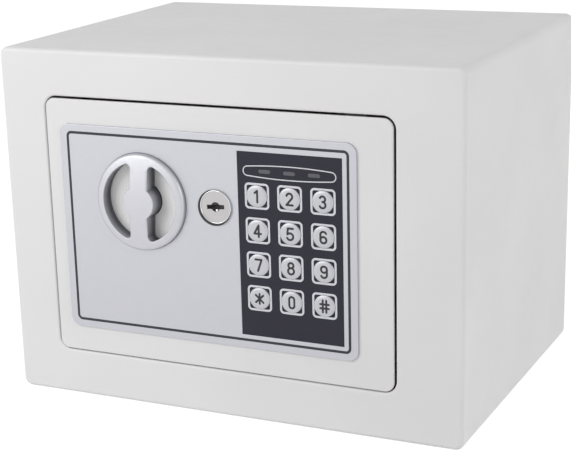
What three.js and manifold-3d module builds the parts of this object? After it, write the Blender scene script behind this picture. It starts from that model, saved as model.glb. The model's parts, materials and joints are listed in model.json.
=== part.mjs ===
// A small electronic safe with a front door, in millimetres.
// +X is to the right, +Y to the back and +Z up; the origin is the middle of the base.
import * as THREE from 'three';
import { mergeVertices } from 'three/addons/utils/BufferGeometryUtils.js';
import Module from 'manifold-3d';

// Clearances
const touchGap = 0.3;
const workGap = 0.4;
const snugGap = 0.1;
const cutPast = 2;
const mergeDistance = 0.0001;

// Case
const caseWidth = 230;
const caseDepth = 170;
const caseHeight = 170;
const sheet = 1.2;
const edgeRound = 2;
const cornerRound = 4;
const openingShiftX = -3.85;
const openingShiftZ = 0.325;
const openingRound = 4;
const backFlange = 14;
const panelLap = 8;
const anchorRadius = 5;
const anchorOffset = 60;
const matThick = 1.5;
const matHoleRadius = 8;
const jambDepth = 24.8;
const stopWidth = 3;
const stopEndGap = 5;
const bracketThick = 2;
const bracketHalfWidth = 13;
const bracketDepth = 16;
const bracketFromCase = 7.6;

// Door
const gapLeft = 0.6;
const gapRight = 1.1;
const gapTop = 1;
const gapBottom = 0.6;
const doorRound = 5;
const doorThick = 3;
const trayInset = 6;
const trayLeftInset = 7;
const trayDepth = 34;
const trayRound = 3;
const coverThick = 1.5;
const postSize = 8;
const postDepth = 8;
const pivotInset = 18;
const pinRadius = 2.5;
const pinFootHalfWidth = 5;
const pinReach = 5;

// Front panel and keypad
const panelThick = 1;
const panelFromDoorLeft = 7.7;
const panelFromDoorRight = 16.4;
const panelFromDoorTop = 11.5;
const panelFromDoorBottom = 12.6;
const panelRound = 5;
const padWidth = 50.6;
const padHeight = 86.1;
const padFromLock = 2.75;
const padFromPanelRight = 6.75;
const padFromPanelTop = 7;
const padFromPanelBottom = 6.55;
const padRecess = 0.15;
const padFlangeThick = 1.5;
const padFlangeLap = 5;
const keyRadius = 5.15;
const keyProud = 0.8;
const keyDome = 0.3;
const keyCrownShare = 0.6;
const keyFlange = 1;
const keyFlangeThick = 0.8;
const keyPitchX = 16;
const keyPitchZ = 15.95;
const keysFromPadMiddle = 0.1;
const keysFromPadTop = 20.05;
const lensFromPadTop = 8.7;
const lensPitch = 12;
const lensLength = 6;
const lensHeight = 1.9;
const lensFlange = 1;
const lensFlangeThick = 1;
const boardStandoff = 1.9;
const boardThick = 1.6;
const boardMargin = 2.4;
const boardPostRadius = 2;
const buzzerRadius = 6;
const buzzerHeight = 6;

// Knob and its well
const knobFromPanelLeft = 19.75;
const knobFromPanelMiddle = 15.425;
const knobLean = THREE.MathUtils.degToRad(2.4);
const knobRadius = 22.9;
const knobProud = 4.5;
const knobCrown = 1.9;
const knobCrownSteps = 4;
const knobEdge = 1;
const knobWindowRadius = 19.05;
const knobBarHalfWidth = 4.65;
const knobHubRadius = 8;
const knobFillet = 2;
const wellFloorDepth = 4.2;
const wellFloorThick = 1.5;
const wellWall = 1.4;
const wellFlange = 2.8;
const wellHoleRadius = 8.7;
const spindleRadius = 4;
const spindleInHub = 7;

// Bolt work behind the door
const chassisStandoff = 4.4;
const chassisThick = 1.6;
const chassisLeft = 31.35;
const chassisFromNut = 0.985;
const chassisOverWell = 2.8;
const chassisUnderWell = 1.5;
const boltRadius = 6;
const boltDepth = 14;
const boltSpread = 26;
const boltProud = 0.5;
const boltChamfer = 1.5;
const boltHoleGap = 0.35;
const jambHoleGap = 0.7;
const boltTravel = 12;
const carriageThick = 2;
const carriageFromKnob = 19.35;
const carriageRight = 13.65;
const carriageAbove = 28.9;
const carriageBelow = 32.7;
const carriageFlangeLap = 9.3;
const crankRadius = 12;
const crankAngle = THREE.MathUtils.degToRad(30);
const crankPinRadius = 3;
const crankPinGap = 0.45;
const armThick = 2;
const armGap = 0.5;
const armHubRadius = 8;
const armTipRadius = 5.5;
const guideRadius = 3;
const guideFromKnob = 9.35;
const guideAbove = 22.9;
const guideBelow = 21.1;
const clipRadius = 5;
const clipThick = 0.8;
const plungerRadius = 2.5;
const plungerTipRadius = 3.5;
const plungerTipLength = 1.5;
const plungerCollarRadius = 5.5;
const plungerCollarThick = 1.5;
const plungerLift = 4.5;
const plungerLength = 24;
const springRoom = 5;
const springWire = 0.4;
const springTurns = 3;
const solenoidWidth = 24;
const solenoidDepth = 18;
const solenoidHeight = 22;

// Override lock
const lockAboveKnob = 0.8;
const lockRimRadius = 8.5;
const lockRimProud = 1.4;
const lockShankRadius = 7;
const lockLength = 20;
const lockRimWall = 0.55;
const lockRecessDepth = 0.9;
const plugFaceThick = 0.5;
const plugRadius = 5;
const keyholeWidth = 8.7;
const keyholeHeight = 1.6;
const keyholeBulge = 1.5;
const keyholeDepth = 8;
const nutFlats = 17;
const nutThick = 3;
const nutFromWell = 1.135;
const plugOverrun = 2;
const camLength = 16;
const camHalfWidth = 4;
const camThick = 1.6;

// Power and the door's inner side
const cellRadius = 7.25;
const cellLength = 49.2;
const cellTipRadius = 2.75;
const cellTipLength = 1.3;
const cellCount = 4;
const cellRoom = 1.7;
const contactRoom = 3;
const holderWall = 1.5;
const holderFromCam = 4.45;
const holderFromPosts = 0.4;
const lidLap = 3;
const lidThick = 1.2;
const lidGripDepth = 0.6;
const resetFromTrayRight = 14.8;
const resetFromTrayTop = 23;
const resetRadius = 3;
const resetProud = 1.5;
const resetFlange = 1.5;
const resetFlangeThick = 1.2;
const resetStem = 3;
const screwHeadRadius = 2.8;
const screwHeadTopRadius = 2.2;
const screwHeadHeight = 1.6;
const screwShankRadius = 1.3;
const screwLength = 6;

// How round the round parts are
const smallSides = 12;
const midSides = 16;
const largeSides = 40;

// Places worked out from the sizes above
const front = -caseDepth / 2;
const back = caseDepth / 2;
const right = caseWidth / 2;
const left = -caseWidth / 2;
const wellRadius = knobRadius + touchGap + snugGap + wellWall;
const nutCorner = nutFlats / Math.sqrt(3);
const lockFromKnob = wellRadius + wellFlange + nutFromWell + nutCorner;
const padFromKnob = lockFromKnob + lockRimRadius + padFromLock;
const panelWidth = knobFromPanelLeft + knobRadius + padFromKnob + padWidth + padFromPanelRight;
const panelHeight = padFromPanelBottom + padHeight + padFromPanelTop;
const openingWidth = gapLeft + panelFromDoorLeft + panelWidth + panelFromDoorRight + gapRight;
const openingHeight = gapBottom + panelFromDoorBottom + panelHeight + panelFromDoorTop + gapTop;
const opening = {
  x0: openingShiftX - openingWidth / 2,
  x1: openingShiftX + openingWidth / 2,
  z0: caseHeight / 2 + openingShiftZ - openingHeight / 2,
  z1: caseHeight / 2 + openingShiftZ + openingHeight / 2,
};
const door = {
  x0: opening.x0 + gapLeft,
  x1: opening.x1 - gapRight,
  z0: opening.z0 + gapBottom,
  z1: opening.z1 - gapTop,
};
const doorBack = front + doorThick;
const tray = {
  x0: door.x0 + trayLeftInset,
  x1: door.x1 - trayInset,
  z0: door.z0 + trayInset,
  z1: door.z1 - trayInset,
};
const coverFront = doorBack + trayDepth;
const coverBack = coverFront + coverThick;
const jambFront = front + sheet;
const jambBack = jambFront + jambDepth;
const pivot = { x: door.x1 - pivotInset, y: doorBack + touchGap + pinRadius };
const panel = {
  x0: door.x0 + panelFromDoorLeft,
  z0: door.z0 + panelFromDoorBottom,
};
panel.x1 = panel.x0 + panelWidth;
panel.z1 = panel.z0 + panelHeight;
const panelFront = front - panelThick;
const pad = {
  x1: panel.x1 - padFromPanelRight,
  z0: panel.z0 + padFromPanelBottom,
};
pad.x0 = pad.x1 - padWidth;
pad.z1 = pad.z0 + padHeight;
const padFront = panelFront + padRecess;
const padBack = doorBack + padFlangeThick;
const boardFront = padBack + boardStandoff;
const boardBack = boardFront + boardThick;
const knob = {
  x: panel.x0 + knobFromPanelLeft + knobRadius,
  z: (panel.z0 + panel.z1) / 2 + knobFromPanelMiddle,
};
const lock = { x: knob.x + lockFromKnob, z: knob.z + lockAboveKnob };
const wellFloor = panelFront + wellFloorDepth;
const wellBack = wellFloor + wellFloorThick;
const lockRecessRadius = lockRimRadius - lockRimWall;
const plugFaceRadius = lockRecessRadius - touchGap;
const chassisFront = doorBack + chassisStandoff;
const chassisBack = chassisFront + chassisThick;
const chassisTop = knob.z + wellRadius + wellFlange + chassisOverWell + chassisThick;
const chassisBottom = knob.z - wellRadius - wellFlange - chassisUnderWell - chassisThick;
const boltY = doorBack + boltDepth;
const doorMiddle = (door.z0 + door.z1) / 2;
const boltHeights = { upper: doorMiddle + boltSpread, lower: doorMiddle - boltSpread };
const carriageFront = boltY + boltRadius;
const carriageBack = carriageFront + carriageThick;
const carriageLeft = knob.x - carriageFromKnob;
const armBack = carriageFront - armGap;
const armFront = armBack - armThick;
const plungerY = (carriageFront + carriageBack) / 2;
const plungerTop = knob.z - carriageBelow - workGap;
const collarBottom = plungerTop - plungerTipLength - plungerCollarThick;
const solenoidTop = collarBottom - springRoom;
const solenoidBottom = solenoidTop - solenoidHeight;
const guides = [
  { name: 'upper', x: knob.x - guideFromKnob, z: knob.z + guideAbove },
  { name: 'lower', x: knob.x - guideFromKnob, z: knob.z - guideBelow },
];
const guideEnd = carriageBack + touchGap + clipThick + touchGap;
const cellPitch = 2 * cellRadius + touchGap;
const cellY = coverFront - cellRoom - cellRadius;
const holderFront = cellY - cellRadius - touchGap - holderWall;
const holderInsideWidth = cellLength + cellTipLength + 2 * contactRoom;
const holderInsideHeight = cellCount * cellPitch;
const holder = {
  x: lock.x + camHalfWidth + holderFromCam + holderWall + holderInsideWidth / 2,
  z: tray.z0 + sheet + postSize + holderFromPosts + holderWall + holderInsideHeight / 2,
};
const reset = { x: tray.x1 - resetFromTrayRight, z: tray.z1 - resetFromTrayTop };
const keyNames = ['1', '2', '3', '4', '5', '6', '7', '8', '9', 'star', '0', 'hash'];

// Closed solids for joining and cutting
const wasm = await Module();
wasm.setup();

function toSolid(geometry) {
  const bare = geometry.clone();
  bare.deleteAttribute('normal');
  bare.deleteAttribute('uv');
  const merged = mergeVertices(bare, mergeDistance);
  const corners = merged.index.array;
  const kept = [];
  for (let i = 0; i < corners.length; i += 3) {
    const [a, b, c] = corners.slice(i, i + 3);
    if (a !== b && b !== c && c !== a) kept.push(a, b, c);
  }
  return new wasm.Manifold(new wasm.Mesh({
    numProp: 3,
    vertProperties: merged.attributes.position.array,
    triVerts: Uint32Array.from(kept),
  }));
}

function toGeometry(solid) {
  const mesh = solid.getMesh();
  const geometry = new THREE.BufferGeometry();
  geometry.setAttribute('position', new THREE.BufferAttribute(mesh.vertProperties, 3));
  geometry.setIndex(new THREE.BufferAttribute(mesh.triVerts, 1));
  geometry.computeVertexNormals();
  return geometry;
}

function join(...pieces) {
  return toGeometry(pieces.map(toSolid).reduce((whole, piece) => whole.add(piece)));
}

function cut(body, ...tools) {
  return toGeometry(tools.map(toSolid).reduce((rest, tool) => rest.subtract(tool), toSolid(body)));
}

// Basic shapes, placed by their own limits
function block(x0, x1, y0, y1, z0, z1) {
  const geometry = new THREE.BoxGeometry(x1 - x0, y1 - y0, z1 - z0);
  return geometry.translate((x0 + x1) / 2, (y0 + y1) / 2, (z0 + z1) / 2);
}

function grown(rect, by) {
  return { x0: rect.x0 - by, x1: rect.x1 + by, z0: rect.z0 - by, z1: rect.z1 + by };
}

function roundedRect(rect, radius) {
  const { x0, x1, z0, z1 } = rect;
  const shape = new THREE.Shape();
  shape.absarc(x1 - radius, z0 + radius, radius, -Math.PI / 2, 0);
  shape.absarc(x1 - radius, z1 - radius, radius, 0, Math.PI / 2);
  shape.absarc(x0 + radius, z1 - radius, radius, Math.PI / 2, Math.PI);
  shape.absarc(x0 + radius, z0 + radius, radius, Math.PI, Math.PI * 1.5);
  shape.closePath();
  return shape;
}

// A flat outline in X and Z, given its thickness along Y
function plate(shape, y0, y1, curveSegments = 4) {
  const geometry = new THREE.ExtrudeGeometry(shape, { depth: y1 - y0, bevelEnabled: false, curveSegments });
  return geometry.rotateX(Math.PI / 2).translate(0, y1, 0);
}

function roundedPlate(rect, radius, y0, y1) {
  return plate(roundedRect(rect, radius), y0, y1);
}

// A profile of [radius, distance] points turned round an axis
function turnedY(profile, x, z, sides = midSides) {
  const points = profile.map(([radius, y]) => new THREE.Vector2(radius, y));
  return new THREE.LatheGeometry(points, sides).translate(x, 0, z);
}

function turnedZ(profile, x, y, sides = midSides) {
  const points = profile.map(([radius, z]) => new THREE.Vector2(radius, z));
  return new THREE.LatheGeometry(points, sides).rotateX(Math.PI / 2).translate(x, y, 0);
}

function turnedX(profile, y, z, sides = midSides) {
  const points = profile.map(([radius, x]) => new THREE.Vector2(radius, x));
  return new THREE.LatheGeometry(points, sides).rotateZ(-Math.PI / 2).translate(0, y, z);
}

function rodY(radius, x, z, y0, y1, sides = midSides) {
  return turnedY([[0, y0], [radius, y0], [radius, y1], [0, y1]], x, z, sides);
}

function rodZ(radius, x, y, z0, z1, sides = midSides) {
  return turnedZ([[0, z0], [radius, z0], [radius, z1], [0, z1]], x, y, sides);
}

function rodX(radius, y, z, x0, x1, sides = midSides) {
  return turnedX([[0, x0], [radius, x0], [radius, x1], [0, x1]], y, z, sides);
}

// A straight slot with round ends, long in X, cut through along Y
function slot(x0, x1, z, radius, y0, y1) {
  const shape = new THREE.Shape();
  shape.absarc(x1, z, radius, -Math.PI / 2, Math.PI / 2);
  shape.absarc(x0, z, radius, Math.PI / 2, Math.PI * 1.5);
  shape.closePath();
  return plate(shape, y0, y1, 5);
}

// Case
function caseShell() {
  const outline = { x0: left + edgeRound, x1: right - edgeRound, z0: edgeRound, z1: caseHeight - edgeRound };
  const outer = new THREE.ExtrudeGeometry(roundedRect(outline, cornerRound - edgeRound), {
    depth: caseDepth - 2 * edgeRound,
    bevelThickness: edgeRound,
    bevelSize: edgeRound,
    bevelSegments: 2,
    curveSegments: 3,
  });
  outer.rotateX(Math.PI / 2).translate(0, back - edgeRound, 0);
  const inside = { x0: left + sheet, x1: right - sheet, z0: sheet, z1: caseHeight - sheet };
  const anchors = [-anchorOffset, anchorOffset].map(
    (x) => rodZ(anchorRadius, x, 0, -cutPast, sheet + cutPast),
  );
  return cut(
    outer,
    roundedPlate(inside, cornerRound - sheet, front + sheet, back - sheet),
    roundedPlate(opening, openingRound, front - cutPast, front + sheet + cutPast),
    backOpening(0, back - sheet - cutPast, back + cutPast),
    ...anchors,
  );
}

function backOpening(inset, y0, y1) {
  const rect = {
    x0: left + backFlange + inset,
    x1: right - backFlange - inset,
    z0: backFlange + inset,
    z1: caseHeight - backFlange - inset,
  };
  return block(rect.x0, rect.x1, y0, y1, rect.z0, rect.z1);
}

function backPanel() {
  const anchors = [-anchorOffset, anchorOffset].map(
    (x) => rodY(anchorRadius, x, caseHeight / 2, back - 2 * sheet - cutPast, back + cutPast),
  );
  return cut(
    join(
      backOpening(touchGap, back - 2 * sheet, back),
      backOpening(-panelLap, back - 2 * sheet, back - sheet),
    ),
    backOpening(touchGap + sheet, back - 2 * sheet - cutPast, back - sheet),
    ...anchors,
  );
}

function doorJamb() {
  const ring = cut(
    roundedPlate(grown(opening, sheet), openingRound + sheet, jambFront, jambBack),
    roundedPlate(opening, openingRound, jambFront - cutPast, jambBack + cutPast),
  );
  const stopFront = doorBack + workGap;
  const doorStop = block(
    opening.x0 - sheet / 2, opening.x0 + stopWidth,
    stopFront, stopFront + sheet,
    opening.z0 + stopEndGap, opening.z1 - stopEndGap,
  );
  const boltHoles = Object.values(boltHeights).map((z) => rodX(
    boltRadius + jambHoleGap, boltY, z, opening.x0 - sheet - cutPast, opening.x0 + cutPast,
  ));
  const pinHole = rodZ(
    pinRadius + touchGap, pivot.x, pivot.y,
    opening.z0 - sheet - cutPast, opening.z1 + sheet + cutPast, smallSides,
  );
  return cut(join(ring, doorStop), ...boltHoles, pinHole);
}

// An angle plate that backs the jamb round a hinge pin; up is 1 above the door and -1 below it
function hingeBracket(up) {
  const seat = up > 0 ? opening.z1 + sheet : opening.z0 - sheet;
  const x0 = pivot.x - bracketHalfWidth;
  const x1 = pivot.x + bracketHalfWidth;
  const tabEnd = up > 0 ? caseHeight - sheet - bracketFromCase : sheet + bracketFromCase;
  const pinHole = [seat - up * cutPast, seat + up * (bracketThick + pinReach + touchGap)];
  const leaf = (y1, end) => block(x0, x1, jambFront, y1, Math.min(seat, end), Math.max(seat, end));
  return cut(
    join(
      leaf(jambFront + bracketDepth, seat + up * bracketThick),
      leaf(jambFront + bracketThick, tabEnd),
    ),
    rodZ(pinRadius + touchGap, pivot.x, pivot.y, Math.min(...pinHole), Math.max(...pinHole), smallSides),
  );
}

function floorMat() {
  const inset = cornerRound + touchGap;
  const holes = [-anchorOffset, anchorOffset].map(
    (x) => rodZ(matHoleRadius, x, 0, sheet - cutPast, sheet + matThick + cutPast),
  );
  return cut(
    block(left + inset, right - inset, front + inset, back - inset, sheet, sheet + matThick),
    ...holes,
  );
}

// Door
function doorPlate() {
  return cut(
    roundedPlate(door, doorRound, front, doorBack),
    rodY(wellRadius + touchGap, knob.x, knob.z, front - cutPast, doorBack + cutPast, largeSides),
    rodY(lockShankRadius + touchGap, lock.x, lock.z, front - cutPast, doorBack + cutPast),
    padWindow(front - cutPast, doorBack + cutPast),
  );
}

function padWindow(y0, y1) {
  const rect = grown(pad, touchGap / 2);
  return block(rect.x0, rect.x1, y0, y1, rect.z0, rect.z1);
}

function trayCorners() {
  const inner = grown(tray, -sheet);
  return [
    { name: 'upper_left', x: inner.x0, z: inner.z1, dx: 1, dz: -1 },
    { name: 'upper_right', x: inner.x1, z: inner.z1, dx: -1, dz: -1 },
    { name: 'lower_left', x: inner.x0, z: inner.z0, dx: 1, dz: 1 },
    { name: 'lower_right', x: inner.x1, z: inner.z0, dx: -1, dz: 1 },
  ];
}

function screwPlace({ x, z, dx, dz }) {
  return { x: x + dx * postSize / 2, z: z + dz * postSize / 2 };
}

function doorTray() {
  const ring = cut(
    roundedPlate(tray, trayRound, doorBack, coverFront),
    roundedPlate(grown(tray, -sheet), trayRound - sheet, doorBack - cutPast, coverFront + cutPast),
  );
  const overlap = sheet / 2;
  const posts = trayCorners().map(({ x, z, dx, dz }) => block(
    Math.min(x - dx * overlap, x + dx * postSize), Math.max(x - dx * overlap, x + dx * postSize),
    coverFront - postDepth, coverFront,
    Math.min(z - dz * overlap, z + dz * postSize), Math.max(z - dz * overlap, z + dz * postSize),
  ));
  const outside = roundedPlate(tray, trayRound, coverFront - postDepth, coverFront);
  const trimmedPosts = posts.map((post) => toGeometry(toSolid(post).intersect(toSolid(outside))));
  const screwHoles = trayCorners().map(screwPlace).map(({ x, z }) => rodY(
    screwShankRadius + touchGap, x, z, coverFront - postDepth - cutPast, coverFront + cutPast, smallSides,
  ));
  const boltHoles = Object.values(boltHeights).map((z) => rodX(
    boltRadius + boltHoleGap, boltY, z, tray.x0 - cutPast, tray.x0 + sheet + cutPast,
  ));
  return cut(join(ring, ...trimmedPosts), ...screwHoles, ...boltHoles);
}

// A hinge pin on its foot; up is 1 above the tray and -1 below it
function hingePin(up) {
  const seat = up > 0 ? tray.z1 : tray.z0;
  const jambFace = up > 0 ? opening.z1 : opening.z0;
  const footEnd = jambFace - up * workGap;
  const tip = jambFace + up * (sheet + bracketThick + pinReach);
  const foot = block(
    pivot.x - pinFootHalfWidth, pivot.x + pinFootHalfWidth,
    doorBack, pivot.y + pinFootHalfWidth,
    Math.min(seat, footEnd), Math.max(seat, footEnd),
  );
  const middle = (seat + footEnd) / 2;
  const pin = rodZ(pinRadius, pivot.x, pivot.y, Math.min(middle, tip), Math.max(middle, tip), smallSides);
  return join(foot, pin);
}

function lockPanel() {
  return cut(
    roundedPlate(panel, panelRound, panelFront, front),
    rodY(wellRadius - wellWall, knob.x, knob.z, panelFront - cutPast, front + cutPast, largeSides),
    rodY(lockShankRadius + touchGap, lock.x, lock.z, panelFront - cutPast, front + cutPast),
    padWindow(panelFront - cutPast, front + cutPast),
  );
}

function keyPlaces() {
  return keyNames.map((name, i) => ({
    name,
    x: (pad.x0 + pad.x1) / 2 + keysFromPadMiddle + (i % 3 - 1) * keyPitchX,
    z: pad.z1 - keysFromPadTop - Math.floor(i / 3) * keyPitchZ,
  }));
}

function lensPlaces() {
  return ['left', 'middle', 'right'].map((name, i) => ({
    name,
    x: (pad.x0 + pad.x1) / 2 + (i - 1) * lensPitch,
    z: pad.z1 - lensFromPadTop,
  }));
}

function keypadPlate() {
  const flange = grown(pad, padFlangeLap);
  const body = join(
    block(pad.x0, pad.x1, padFront, padBack, pad.z0, pad.z1),
    block(pad.x0, flange.x1, doorBack, padBack, flange.z0, flange.z1),
  );
  const board = boardOutline();
  const inset = boardPostRadius + snugGap;
  const posts = [
    [board.x0 + inset, board.z0 + inset],
    [board.x1 - inset, board.z0 + inset],
    [board.x0 + inset, board.z1 - inset],
    [board.x1 - inset, board.z1 - inset],
  ].map(([x, z]) => rodY(boardPostRadius, x, z, padBack - padFlangeThick / 2, boardFront, smallSides));
  const keyHoles = keyPlaces().map(({ x, z }) => rodY(
    keyRadius + touchGap, x, z, padFront - cutPast, padBack + cutPast, midSides,
  ));
  const lensHoles = lensPlaces().map(
    ({ x, z }) => lensBody(x, z, snugGap, padFront - cutPast, padBack + cutPast),
  );
  return cut(join(body, ...posts), ...keyHoles, ...lensHoles);
}

function lensBody(x, z, growth, y0, y1) {
  const radius = lensHeight / 2 + growth;
  const half = (lensLength - lensHeight) / 2;
  return slot(x - half, x + half, z, radius, y0, y1);
}

function indicatorLens({ x, z }) {
  return join(
    lensBody(x, z, 0, padFront, padBack + lensFlangeThick / 2),
    lensBody(x, z, lensFlange, padBack, padBack + lensFlangeThick),
  );
}

function key({ x, z }) {
  const face = padFront - keyProud;
  return turnedY([
    [0, face],
    [keyRadius * keyCrownShare, face + keyDome * keyCrownShare ** 2],
    [keyRadius - keyDome, face + keyDome],
    [keyRadius, face + 2 * keyDome],
    [keyRadius, padBack + touchGap],
    [keyRadius + keyFlange, padBack + touchGap],
    [keyRadius + keyFlange, padBack + touchGap + keyFlangeThick],
    [0, padBack + touchGap + keyFlangeThick],
  ], x, z, midSides);
}

function boardOutline() {
  return {
    x0: pad.x0 + snugGap,
    x1: pad.x1 + boardMargin,
    z0: pad.z0 - boardMargin,
    z1: pad.z1 + boardMargin,
  };
}

function circuitBoard() {
  const board = boardOutline();
  return block(board.x0, board.x1, boardFront, boardBack, board.z0, board.z1);
}

function buzzer() {
  const board = boardOutline();
  return rodY(
    buzzerRadius, board.x0 + 2 * buzzerRadius, board.z1 - 2 * buzzerRadius,
    boardBack, boardBack + buzzerHeight,
  );
}

// Knob, well and spindle
function knobWell() {
  const inner = wellRadius - wellWall;
  return turnedY([
    [wellHoleRadius, wellFloor],
    [inner, wellFloor],
    [inner, front],
    [wellRadius, front],
    [wellRadius, doorBack],
    [wellRadius + wellFlange, doorBack],
    [wellRadius + wellFlange, wellBack],
    [wellHoleRadius, wellBack],
    [wellHoleRadius, wellFloor],
  ], knob.x, knob.z, largeSides);
}

// The finger window right of the bar: a D with round corners and a bulge for the hub
function knobWindow() {
  const filletX = knobBarHalfWidth + knobFillet;
  const filletZ = Math.sqrt((knobWindowRadius - knobFillet) ** 2 - filletX ** 2);
  const rimAngle = Math.atan2(filletZ, filletX);
  const hubAngle = Math.acos(knobBarHalfWidth / knobHubRadius);
  const shape = new THREE.Shape();
  shape.absarc(0, 0, knobWindowRadius, -rimAngle, rimAngle);
  shape.absarc(filletX, filletZ, knobFillet, rimAngle, Math.PI);
  shape.absarc(0, 0, knobHubRadius, hubAngle, -hubAngle, true);
  shape.absarc(filletX, -filletZ, knobFillet, Math.PI, 2 * Math.PI - rimAngle);
  return shape;
}

// The disc's face is crowned, with its bar and ring left between two finger windows
function turningKnob() {
  const face = panelFront - knobProud;
  const rear = wellFloor - touchGap;
  const hubRear = chassisFront - workGap;
  const crown = Array.from({ length: knobCrownSteps + 1 }, (_, i) => {
    const share = i / knobCrownSteps;
    return [(knobRadius - knobEdge) * share, face + knobCrown * share ** 2];
  });
  const disc = turnedY([
    ...crown,
    [knobRadius, face + knobCrown + knobEdge],
    [knobRadius, rear],
    [0, rear],
  ], 0, 0, largeSides);
  const hub = rodY(knobHubRadius, 0, 0, face + knobCrown, hubRear);
  const bore = rodY(spindleRadius + touchGap, 0, 0, chassisFront - spindleInHub, hubRear + cutPast);
  const windows = [0, Math.PI].map(
    (turn) => plate(knobWindow(), face - cutPast, rear + cutPast, 8).rotateY(turn),
  );
  const ringAndBar = cut(disc, ...windows);
  return cut(join(ringAndBar, hub), bore).rotateY(knobLean).translate(knob.x, 0, knob.z);
}

function knobSpindle() {
  return rodY(spindleRadius, knob.x, knob.z, chassisFront - spindleInHub, armFront);
}

function crankPin() {
  return {
    x: knob.x + crankRadius * Math.sin(crankAngle),
    z: knob.z + crankRadius * Math.cos(crankAngle),
  };
}

function crankArm() {
  const pin = crankPin();
  const shape = new THREE.Shape();
  const lean = Math.PI / 2 - crankAngle;
  const taper = Math.asin((armHubRadius - armTipRadius) / crankRadius);
  shape.absarc(knob.x, knob.z, armHubRadius, lean + Math.PI / 2 - taper, lean + Math.PI * 1.5 + taper);
  shape.absarc(pin.x, pin.z, armTipRadius, lean - Math.PI / 2 + taper, lean + Math.PI / 2 - taper);
  shape.closePath();
  return join(
    plate(shape, armFront, armBack, 6),
    rodY(crankPinRadius, pin.x, pin.z, armBack - armThick / 2, carriageBack + touchGap),
  );
}

// Bolt work
function lockChassis() {
  const x0 = knob.x - chassisLeft;
  const x1 = lock.x - nutCorner - chassisFromNut;
  const z0 = chassisBottom;
  const z1 = chassisTop;
  const tabLeft = knob.x - solenoidWidth / 2;
  const tabRight = knob.x + solenoidWidth / 2;
  const shelfBack = plungerY + solenoidDepth / 2;
  const shelfBottom = solenoidBottom - chassisThick;
  const guideStuds = guides.map(({ x, z }) => rodY(
    guideRadius, x, z, chassisFront + chassisThick / 2, guideEnd, midSides,
  ));
  return cut(
    join(
      block(x0, x1, chassisFront, chassisBack, z0, z1),
      block(x0, x1, doorBack, chassisBack, z1 - chassisThick, z1),
      block(x0, x1, doorBack, chassisBack, z0, z0 + chassisThick),
      block(tabLeft, tabRight, chassisFront, chassisBack, shelfBottom, z0 + chassisThick),
      block(tabLeft, tabRight, chassisFront, shelfBack, shelfBottom, solenoidBottom),
      ...guideStuds,
    ),
    rodY(spindleRadius + touchGap, knob.x, knob.z, chassisFront - cutPast, chassisBack + cutPast),
  );
}

function boltCarriage() {
  const x0 = carriageLeft;
  const x1 = knob.x + carriageRight;
  const z0 = knob.z - carriageBelow;
  const z1 = knob.z + carriageAbove;
  const rampStart = knob.x - plungerTipRadius;
  const rampRise = (x1 - rampStart) * plungerLift / boltTravel;
  const outline = new THREE.Shape([
    new THREE.Vector2(x0, z0),
    new THREE.Vector2(rampStart, z0),
    new THREE.Vector2(x1, z0 + rampRise),
    new THREE.Vector2(x1, z1),
    new THREE.Vector2(x0, z1),
  ]);
  const slide = plate(outline, carriageFront, carriageBack);
  const boltFlange = block(
    x0, x0 + carriageThick,
    boltY - boltRadius, carriageBack,
    boltHeights.lower - carriageFlangeLap, boltHeights.upper + carriageFlangeLap,
  );
  const pin = crankPin();
  const pinPath = crankRadius * (1 - Math.cos(crankAngle));
  const slotRadius = crankPinRadius + crankPinGap;
  const crankSlot = slot(-pinPath / 2, pinPath / 2, 0, slotRadius, 0, carriageThick + 2 * cutPast)
    .rotateY(Math.PI / 2)
    .translate(pin.x, carriageFront - cutPast, pin.z + pinPath / 2);
  const guideSlots = guides.map(({ x, z }) => slot(
    x, x + boltTravel, z, guideRadius + touchGap, carriageFront - cutPast, carriageBack + cutPast,
  ));
  return cut(join(slide, boltFlange), crankSlot, ...guideSlots);
}

function bolt(z) {
  const tip = tray.x0 - boltProud;
  return turnedX([
    [0, tip],
    [boltRadius - boltChamfer, tip],
    [boltRadius, tip + boltChamfer],
    [boltRadius, carriageLeft],
    [0, carriageLeft],
  ], boltY, z);
}

function retainingClip({ x, z }) {
  const y0 = carriageBack + touchGap;
  const ring = turnedY([
    [guideRadius + snugGap, y0],
    [clipRadius, y0],
    [clipRadius, y0 + clipThick],
    [guideRadius + snugGap, y0 + clipThick],
    [guideRadius + snugGap, y0],
  ], x, z);
  const mouth = block(
    x - guideRadius / 2, x + guideRadius / 2, y0 - cutPast, y0 + clipThick + cutPast, z, z + 2 * clipRadius,
  );
  return cut(ring, mouth);
}

function solenoidBody() {
  return cut(
    block(
      knob.x - solenoidWidth / 2, knob.x + solenoidWidth / 2,
      plungerY - solenoidDepth / 2, plungerY + solenoidDepth / 2,
      solenoidBottom, solenoidTop,
    ),
    rodZ(
      plungerRadius + touchGap, knob.x, plungerY,
      plungerTop - plungerLength - touchGap, solenoidTop + cutPast, smallSides,
    ),
  );
}

function plunger() {
  const collarTop = plungerTop - plungerTipLength;
  return turnedZ([
    [0, plungerTop - plungerLength],
    [plungerRadius, plungerTop - plungerLength],
    [plungerRadius, collarBottom],
    [plungerCollarRadius, collarBottom],
    [plungerCollarRadius, collarTop],
    [plungerTipRadius, collarTop],
    [plungerTipRadius, plungerTop],
    [0, plungerTop],
  ], knob.x, plungerY);
}

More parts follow.
